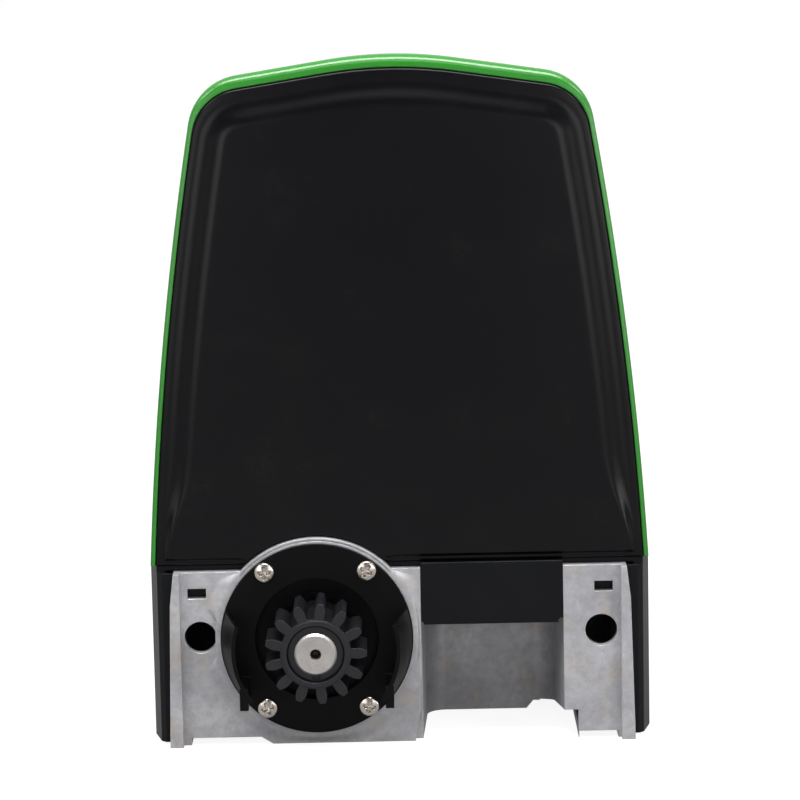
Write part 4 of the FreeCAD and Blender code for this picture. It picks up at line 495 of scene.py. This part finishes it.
def hood(shares, side_inset, roof_inset, eave, bottom):
    """Grid of the hood, one row per share of the way round: up the wall, over the eave's arc, along the roof
    to the ridge line. The wall is the plan outline at each height, the roof is roof_height less its inset,
    and where they meet is found by going back and forth between the two."""
    count = len(shares)
    z = np.full(count, TOP - 20)
    for _ in range(12):
        x, y = plan(shares, z, side_inset)
        z = roof_height(x, y) - roof_inset
    reach = eave * math.tan(EAVE_TURN / 2)
    corner = np.stack([x, y, z], -1)
    x_low, y_low = plan(shares, z - reach, side_inset)
    start = np.stack([x_low, y_low, z - reach], -1)
    way_round = np.minimum(shares, 1 - shares) * 2
    along_ridge = np.clip((way_round - RIDGE_FROM) / RIDGE_OVER, 0, 1)
    ridge_y = np.minimum(y, y[count // 2] - RIDGE_STOP + RIDGE_SPREAD * along_ridge)
    ridge = np.stack([np.zeros(count), ridge_y], -1)
    inward = ridge - corner[:, :2]
    inward /= np.linalg.norm(inward, axis=1)[:, None]
    end_xy = corner[:, :2] + inward * reach
    end = np.stack([end_xy[:, 0], end_xy[:, 1], roof_height(end_xy[:, 0], end_xy[:, 1]) - roof_inset], -1)
    heights = bottom + (start[:, 2] - bottom)[:, None] * np.linspace(0, 1, WALL_STEPS)[None, :-1]
    wall_x, wall_y = plan(shares[:, None], heights, side_inset)
    wall = np.stack([wall_x, wall_y, heights], -1)
    edge = arc_through(start, corner, end, EAVE_STEPS, EAVE_TURN)
    s = np.linspace(0, 1, ROOF_STEPS)[None, 1:, None]
    roof_xy = end_xy[:, None] * (1 - s) + ridge[:, None] * s
    roof_z = roof_height(roof_xy[..., 0], roof_xy[..., 1]) - roof_inset
    roof = np.concatenate([roof_xy, roof_z[..., None]], -1)
    return np.concatenate([wall, edge, roof], 1)


def arch(side_inset, roof_inset, eave, bottom=SEAM):
    """The hood's section in an upright plane at the rear, from the left foot over the ridge to the right
    foot."""
    left = hood(np.array([0.0, 0.5, 1.0]), side_inset, roof_inset, eave, bottom)[0]
    right = left[::-1] * [-1, 1, 1]
    return np.concatenate([left, right[1:]])[:, [0, 2]]


def make_cover():
    """Outer skin, rounded rear rim, opening for the back panel, inner skin and the rim along the seam, as one
    closed shell. The rear rim's rounding is a quarter circle carried along the arch."""
    runs = ((0, 0.25, 16), (0.25, 0.375, 13), (0.375, 0.625, 25), (0.625, 0.75, 13), (0.75, 1, 16))
    shares = np.unique(np.concatenate([np.linspace(*run) for run in runs]))
    outer = hood(shares, 0.0, 0.0, EAVE, SEAM)
    inner = hood(shares, WALL, WALL, EAVE - WALL, SEAM)
    outline = arch(0.0, 0.0, EAVE)
    opening = arch(SIDE_LIP, ROOF_LIP, EAVE - SIDE_LIP)
    cavity = arch(WALL, WALL, EAVE - WALL)
    tangent = np.gradient(outline, axis=0)
    tangent /= np.linalg.norm(tangent, axis=1)[:, None]
    inward = np.stack([tangent[:, 1], -tangent[:, 0]], -1)
    upness = np.clip(-inward[:, 1], 0, 1)
    radius = RIM_SIDE + RIM_TOP * upness ** 2
    # the rear edge of the skin moves forward to where the rounding starts
    columns = outer.shape[1]
    outer[0, :, 1] = REAR + radius[:columns]
    outer[-1, :, 1] = REAR + radius[::-1][:columns]
    inner[0, :, 1] = inner[-1, :, 1] = REAR + LIP_DEPTH
    rows = []
    for angle in np.linspace(0, math.pi / 2, RIM_STEPS):
        rows.append(upright(outline + inward * (radius * (1 - math.cos(angle)))[:, None],
                            REAR + radius * (1 - math.sin(angle))))
    to_opening = outline + inward * radius[:, None] - opening
    reach = np.linalg.norm(to_opening, axis=1)[:, None]
    near = opening + to_opening / reach * np.minimum(RIM_EDGE, reach * 0.5)
    rows += [upright(near, REAR), upright(opening, REAR + RIM_EDGE), upright(opening, REAR + LIP_DEPTH),
             upright(cavity, REAR + LIP_DEPTH)]
    points = [outer.reshape(-1, 3), inner.reshape(-1, 3), np.concatenate(rows)]
    starts = np.cumsum([0] + [len(p) for p in points])
    faces = quads(len(shares), columns, starts[0]) + quads(len(shares), columns, starts[1])
    faces += quads(len(rows), len(outline), starts[2])
    foot = np.arange(len(shares)) * columns
    faces += [[int(starts[0] + a), int(starts[0] + b), int(starts[1] + b), int(starts[1] + a)]
              for a, b in zip(foot[:-1], foot[1:])]
    ends = np.arange(len(rows)) * len(outline) + starts[2]
    faces += [ends.tolist(), (ends + len(outline) - 1).tolist()]
    new_piece("cover_hood", np.concatenate(points), faces, "green_plastic", "cover", ["cover_shell"])


def inward_normals(loop):
    """Unit normals of a closed loop that runs clockwise, seen with x to the right and z up, stretched at
    corners so that an offset keeps its distance from both runs."""
    run = np.roll(loop, -1, 0) - loop
    run /= np.linalg.norm(run, axis=1)[:, None]
    before, after = np.roll(run, 1, 0), run
    mean = before + after
    mean /= np.linalg.norm(mean, axis=1)[:, None]
    stretch = np.clip(1 / np.maximum((mean * after).sum(1), 0.1), 1, 1.5)
    return np.stack([mean[:, 1], -mean[:, 0]], -1) * stretch[:, None]


def make_panel():
    """Back panel as closed loops from its back to the middle of its face: flange, edge, flat band and raised
    field, whose foot follows the flange except for a round cut over the gear case's ring. The edge is a
    quarter circle. The field rises along half a cosine wave over a ramp that grows with height, and almost
    straight at the cut."""
    side, top = SIDE_LIP + GAP, ROOF_LIP + GAP
    foot = SEAM + PANEL_BAND
    flange_arch = arch(side, top, EAVE - side)
    field_side = side + PANEL_BAND + FIELD_SIDE
    field_arch = arch(field_side, top + PANEL_BAND + FIELD_TOP, EAVE - field_side, foot)
    centre_x, centre_z = SHAFT_CENTRE[0] / MM, SHAFT_CENTRE[2] / MM
    half_cut = math.sqrt(RING_CUT ** 2 - (foot - centre_z) ** 2)
    first = math.asin((foot - centre_z) / RING_CUT)
    turn = np.linspace(first, math.pi - first, 40)
    right_run = np.linspace(field_arch[-1, 0] - CORNER_RUN, centre_x + half_cut, 22)[:-1]
    left_run = np.linspace(centre_x - half_cut, field_arch[0, 0] + CORNER_RUN, 6)[1:]
    low_x = np.concatenate([right_run, centre_x + RING_CUT * np.cos(turn), left_run])
    low_z = np.concatenate([np.full(len(right_run), foot), centre_z + RING_CUT * np.sin(turn),
                            np.full(len(left_run), foot)])
    field = np.concatenate([field_arch, np.stack([low_x, low_z], -1)])
    flange_x = np.clip(low_x, flange_arch[0, 0] + 1, flange_arch[-1, 0] - 1)
    flange = np.concatenate([flange_arch, np.stack([flange_x, np.full(len(low_x), SEAM)], -1)])
    at_cut = np.zeros(len(field), bool)
    cut_start = len(field_arch) + len(right_run)
    at_cut[cut_start:cut_start + len(turn)] = True
    face, band = REAR - FIELD_HEIGHT, REAR - PANEL_PROUD
    climb = np.where(at_cut, CUT_EDGE, band - face)
    high = np.clip((field[:, 1] - foot) / RAMP_GROWS, 0, 1)
    ramp = np.where(at_cut, CUT_EDGE, FIELD_LOW_RAMP + FIELD_RAMP * high ** 2 * (3 - 2 * high))
    rows = [upright(flange, REAR + PANEL_THICKNESS), upright(flange, band + PANEL_EDGE)]
    into = inward_normals(flange)
    for angle in np.linspace(0, math.pi / 2, 6)[1:]:
        rows.append(upright(flange + into * PANEL_EDGE * (1 - math.cos(angle)),
                            band + PANEL_EDGE * (1 - math.sin(angle))))
    rows.append(upright(field, band))
    into = inward_normals(field)
    for share in np.linspace(0, 1, RAMP_STEPS)[1:]:
        rows.append(upright(field + into * (ramp * share)[:, None],
                            face + climb * (0.5 + 0.5 * math.cos(math.pi * share))))
    rows.append(upright(field + into * (ramp + 1.5)[:, None], face))
    count = len(field)
    faces = quads(len(rows), count, closed=True)
    faces += [list(range(count)), list(range((len(rows) - 1) * count, len(rows) * count))]
    new_piece("rear_panel", np.concatenate(rows), faces, "panel_plastic", "cover", ["back_panel"])


# ---------------------------------------------------------------- screws
SCREW_HEAD, SCREW_HEIGHT, SCREW_SHANK, SCREW_LENGTH = 6.0, 4.0, 3.0, 9.0
SCREW_COLUMNS = 96
FIRST_TURN, NEXT_TURN = 0.35, 1.3            # radians about the axis: how the heads happen to stand
screws_low, screws_high = box_mm("guard_screws")
GUARD_FACE = screws_low[1] + SCREW_HEIGHT    # the screws' seats
TOP_SHARE = 0.86                             # of the head's radius: the dome, before the rounded rim
ARM, ARM_EDGE, ARM_REACH, ARM_END = 0.19, 0.05, 0.66, 0.2      # of the recess, as shares of the radius


def screw_rows():
    """Pan head with a cross recess, its seat at height 0, and its shank: rings of points round the axis. The
    top is a shallow dome; the recess sinks by a cone times the nearness to the arms of a cross."""
    radius, height, shank = SCREW_HEAD, SCREW_HEIGHT, SCREW_SHANK
    turn = np.linspace(0, 2 * math.pi, SCREW_COLUMNS + 1)[:-1]

    def ring(reach, level):
        """One ring of points at a distance from the axis and a height."""
        return np.stack([reach * np.cos(turn), reach * np.sin(turn), np.full(SCREW_COLUMNS, level)], -1)[None]

    r = np.linspace(0, 1, 22)[:, None] * radius * TOP_SHARE
    u, v = r * np.cos(turn), r * np.sin(turn)
    nearness = np.maximum(np.clip((ARM * radius - np.abs(u)) / (ARM_EDGE * radius), 0, 1),
                          np.clip((ARM * radius - np.abs(v)) / (ARM_EDGE * radius), 0, 1))
    inside = np.clip((ARM_REACH * radius - r) / (ARM_END * radius), 0, 1)
    sink = nearness * inside * height * (0.75 - 0.3 * r / radius)
    dome = height * (1 - 0.16 * (r / (radius * TOP_SHARE)) ** 2)
    rings = [np.stack([u, v, dome - sink], -1)]
    for angle in np.linspace(0.25, math.pi / 2, 6):
        rings.append(ring(radius * (TOP_SHARE + (1 - TOP_SHARE) * math.sin(angle)),
                          height * 0.84 * (0.42 + 0.58 * math.cos(angle))))
    for reach, level in ((radius, 0.0), (shank, 0.0), (shank, shank * 0.3 - SCREW_LENGTH),
                         (shank * 0.7, -SCREW_LENGTH), (0.0, -SCREW_LENGTH)):
        rings.append(ring(reach, level))
    return np.concatenate(rings)


def make_guard_screws():
    """The guard's four screws, each turned a little differently about its axis, which points to the gate."""
    rows = screw_rows()
    grid = rows.reshape(-1, 3)
    axis, side = np.array([0.0, -1.0, 0.0]), np.array([1.0, 0.0, 0.0])
    across = np.cross(axis, side)
    points, faces = [], []
    for index, (x, z) in enumerate((x, z) for x in (screws_low[0] + SCREW_HEAD, screws_high[0] - SCREW_HEAD)
                                   for z in (screws_low[2] + SCREW_HEAD, screws_high[2] - SCREW_HEAD)):
        turn = FIRST_TURN + index * NEXT_TURN
        u = side * math.cos(turn) + across * math.sin(turn)
        v = across * math.cos(turn) - side * math.sin(turn)
        points.append(np.array([x, GUARD_FACE, z]) + grid[:, :1] * u + grid[:, 1:2] * v + grid[:, 2:] * axis)
        faces += quads(len(rows), SCREW_COLUMNS, index * len(grid), closed=True)
    new_piece("guard_screw_set", np.concatenate(points), faces, "zinc_screws", "housing", ["guard_screws"],
              sharp=38.0)


# ---------------------------------------------------------------- fillet round the boss
BOSS_DEPTH, PLATE_DEPTH = 3.0, 5.0           # of the boss's and the plate's faces behind the guard's
BOSS_LIFT, PLATE_LIFT = 0.06, 0.05           # of the fillet's two edges off those faces
FILLET_IN, RING_RADIUS, RING_LIMIT, FILLET_WIDTH = 57.0, 60.3, 60.6, 8.0
FILLET_FIRST, FILLET_LAST, FILLET_END = 139, 401, 9      # degrees about the output axis
FILLET_COLUMNS, FILLET_ROWS = 264, 9
HOLE_HALF, HOLE_EASE = math.radians(10), math.radians(6) # the side hole, at half a turn from the right
PLATE_RIGHT, PLATE_NARROWS, PLATE_TAPER = 11.0, 4.0, 58.0    # right edge, what it gives up below the taper
PLATE_TOP, NOTCH_TOP, PLATE_FOOT = 104.9, 4.8, 0.6
NOTCH_SIDE = -77.0                           # the foot notch is left of this
EDGE_RADIUS, NOTCH_RADIUS = 60.0, 64.0       # where the plate's edges are looked up


def make_boss_skirt():
    """Cast fillet between the boss and the plate: rings about the output axis from under the guard outwards.
    It is flat as far as the boss, then falls to the plate along half a cosine wave. The last ring stays on
    the plate: it is cut short at the plate's right edge, foot and top, and before the side hole."""
    turn = np.radians(np.linspace(FILLET_FIRST, FILLET_LAST, FILLET_COLUMNS))
    across, up = np.cos(turn), np.sin(turn)
    centre_x, centre_z = SHAFT_CENTRE[0] / MM, SHAFT_CENTRE[2] / MM
    low = np.clip((PLATE_TAPER - (centre_z + EDGE_RADIUS * up)) / PLATE_TAPER, 0, 1)
    plate_right = PLATE_RIGHT - PLATE_NARROWS * low ** 1.5
    foot = np.where(centre_x + NOTCH_RADIUS * across < NOTCH_SIDE, NOTCH_TOP, PLATE_FOOT)
    to_right = (plate_right - centre_x) / np.maximum(across, 0.05)
    to_foot = (centre_z - foot) / np.maximum(-up, 0.05)
    to_top = (PLATE_TOP - centre_z) / np.maximum(up, 0.05)
    limit = np.minimum(np.minimum(to_right, to_foot), to_top)
    ends = np.clip(np.minimum(turn - turn[0], turn[-1] - turn) / math.radians(FILLET_END), 0, 1)
    clear = np.clip((np.abs(turn - math.pi) - HOLE_HALF) / HOLE_EASE, 0, 1)
    outer = np.maximum(np.minimum(RING_LIMIT + FILLET_WIDTH * ends * clear, limit), RING_LIMIT)
    boss, plate = GUARD_FACE + BOSS_DEPTH - BOSS_LIFT, GUARD_FACE + PLATE_DEPTH - PLATE_LIFT
    rings = []
    radii = [np.full(FILLET_COLUMNS, FILLET_IN)]
    radii += [RING_RADIUS + (outer - RING_RADIUS) * share for share in np.linspace(0, 1, FILLET_ROWS)]
    falls = [0.0] + [0.5 - 0.5 * math.cos(math.pi * share) for share in np.linspace(0, 1, FILLET_ROWS)]
    for radius, fall in zip(radii, falls):
        rings.append(upright(np.stack([centre_x + radius * across, centre_z + radius * up], -1),
                             boss + (plate - boss) * fall))
    new_piece("boss_skirt", np.concatenate(rings), quads(len(rings), len(turn)), "cast_aluminium", "housing",
              sharp=60.0)


make_cover()
make_panel()
make_boss_skirt()
make_guard_screws()


# ---------------------------------------------------------------- studio
FLOOR_DARK, FLOOR_LIGHT, FLOOR_IN_GLOSS, FLOOR_WHITE = 0.2, 0.215, 0.15, 0.9


def grey(level):
    """A neutral colour of the given linear level."""
    return (level, level, level, 1.0)


def seen_directly(tree):
    """1 for rays from the camera or through glass, and 1 for rays in gloss."""
    path = add(tree, "ShaderNodeLightPath").outputs
    return calc(tree, "MAXIMUM", path["Is Camera Ray"], path["Is Transmission Ray"]), path["Is Glossy Ray"]


def make_floor():
    """A wide level disc, white where it is seen directly or through glass, and grey for what it lights."""
    ring = np.linspace(0, 2 * math.pi, 97)[:-1]
    radii = np.array([0.0, 0.4, 1.0, 3.0, 9.0])
    points = np.stack([np.outer(radii, np.cos(ring)), np.outer(radii, np.sin(ring)),
                       np.zeros((len(radii), len(ring)))], -1).reshape(-1, 3)
    mesh = bpy.data.meshes.new("studio_floor")
    mesh.from_pydata(points.tolist(), [], quads(len(radii), len(ring), closed=True))
    floor = bpy.data.objects.new("studio_floor", mesh)
    bpy.context.scene.collection.objects.link(floor)
    material, tree, shader = new_material("studio floor", Roughness=0.9)
    paper = spread(tree, noise(tree, own_place(tree), 40.0, 4.0), 0.3, 0.7)
    put(tree, shader["Base Color"], blend_colour(tree, paper, grey(FLOOR_DARK), grey(FLOOR_LIGHT)))
    seen, in_gloss = seen_directly(tree)
    seen = calc(tree, "MAXIMUM", seen, calc(tree, "MULTIPLY", in_gloss, FLOOR_IN_GLOSS))
    shader["Emission Color"].default_value = grey(1.0)
    put(tree, shader["Emission Strength"], calc(tree, "MULTIPLY", seen, FLOOR_WHITE))
    mesh.materials.append(material)


def make_lamp(name, stand, aim, width, height, power):
    """Soft rectangular lamp that points at aim."""
    data = bpy.data.lights.new(name, "AREA")
    data.shape = "RECTANGLE"
    data.size, data.size_y, data.energy = width, height, power
    lamp = bpy.data.objects.new(name, data)
    lamp.location = stand
    lamp.rotation_euler = (Vector(aim) - Vector(stand)).to_track_quat("-Z", "Y").to_euler()
    bpy.context.scene.collection.objects.link(lamp)


def make_world():
    """Light from all round, less of it from the camera's side and least there in gloss; white where it is
    seen directly."""
    world = bpy.data.worlds.new("studio")
    world.use_nodes = True
    tree = world.node_tree
    way = add(tree, "ShaderNodeTexCoord").outputs["Generated"]
    back = add(tree, "ShaderNodeSeparateXYZ", Vector=way).outputs[1]
    plain = spread(tree, back, -0.5, 0.7, 0.3, 0.9)
    gloss = spread(tree, back, -0.45, 0.05, 0.12, 1.0)
    seen, in_gloss = seen_directly(tree)
    level = calc(tree, "MULTIPLY_ADD", calc(tree, "SUBTRACT", gloss, plain), in_gloss, plain)
    put(tree, tree.nodes["Background"].inputs["Strength"], calc(tree, "MAXIMUM", seen, level))
    tree.nodes["Background"].inputs["Color"].default_value = grey(1.0)
    bpy.context.scene.world = world


make_floor()
make_world()
# Each lamp has a stand, an aim, a width and height in metres, and watts.
UPPER, MIDDLE, LOWER = (0.0, -0.03, 0.3), (0.0, -0.05, 0.25), (0.0, -0.1, 0.1)
for lamp in (("top_softbox", (0.0, -0.5, 1.5), UPPER, 1.3, 0.36, 24.0),
             ("high_left", (-1.1, -0.95, 1.3), MIDDLE, 0.42, 0.42, 6.0),
             ("high_right", (1.1, -0.95, 1.3), MIDDLE, 0.42, 0.42, 6.0),
             ("side_left", (-1.85, -1.55, 0.45), LOWER, 0.7, 0.8, 3.5),
             ("side_right", (1.85, -1.55, 0.45), LOWER, 0.7, 0.8, 9.0),
             ("front_left", (-0.8, -2.3, 0.35), LOWER, 0.8, 0.8, 4.5),
             ("front_right", (0.8, -2.3, 0.35), LOWER, 0.8, 0.8, 5.0),
             ("front_high", (0.0, -1.7, 1.7), LOWER, 0.9, 0.5, 4.0)):
    make_lamp(*lamp)

camera_data = bpy.data.cameras.new("camera")
camera_data.lens = 155.0
camera_data.sensor_width = 36.0
camera = bpy.data.objects.new("camera", camera_data)
camera.location = (0.0022, -2.100, 0.5385)
camera.rotation_euler = Euler((math.radians(80.6), 0.0, 0.0))
camera.rotation_euler.rotate_axis("Z", math.radians(-1.15))
bpy.context.scene.collection.objects.link(camera)
bpy.context.scene.camera = camera
bpy.context.scene.view_settings.view_transform = "Standard"
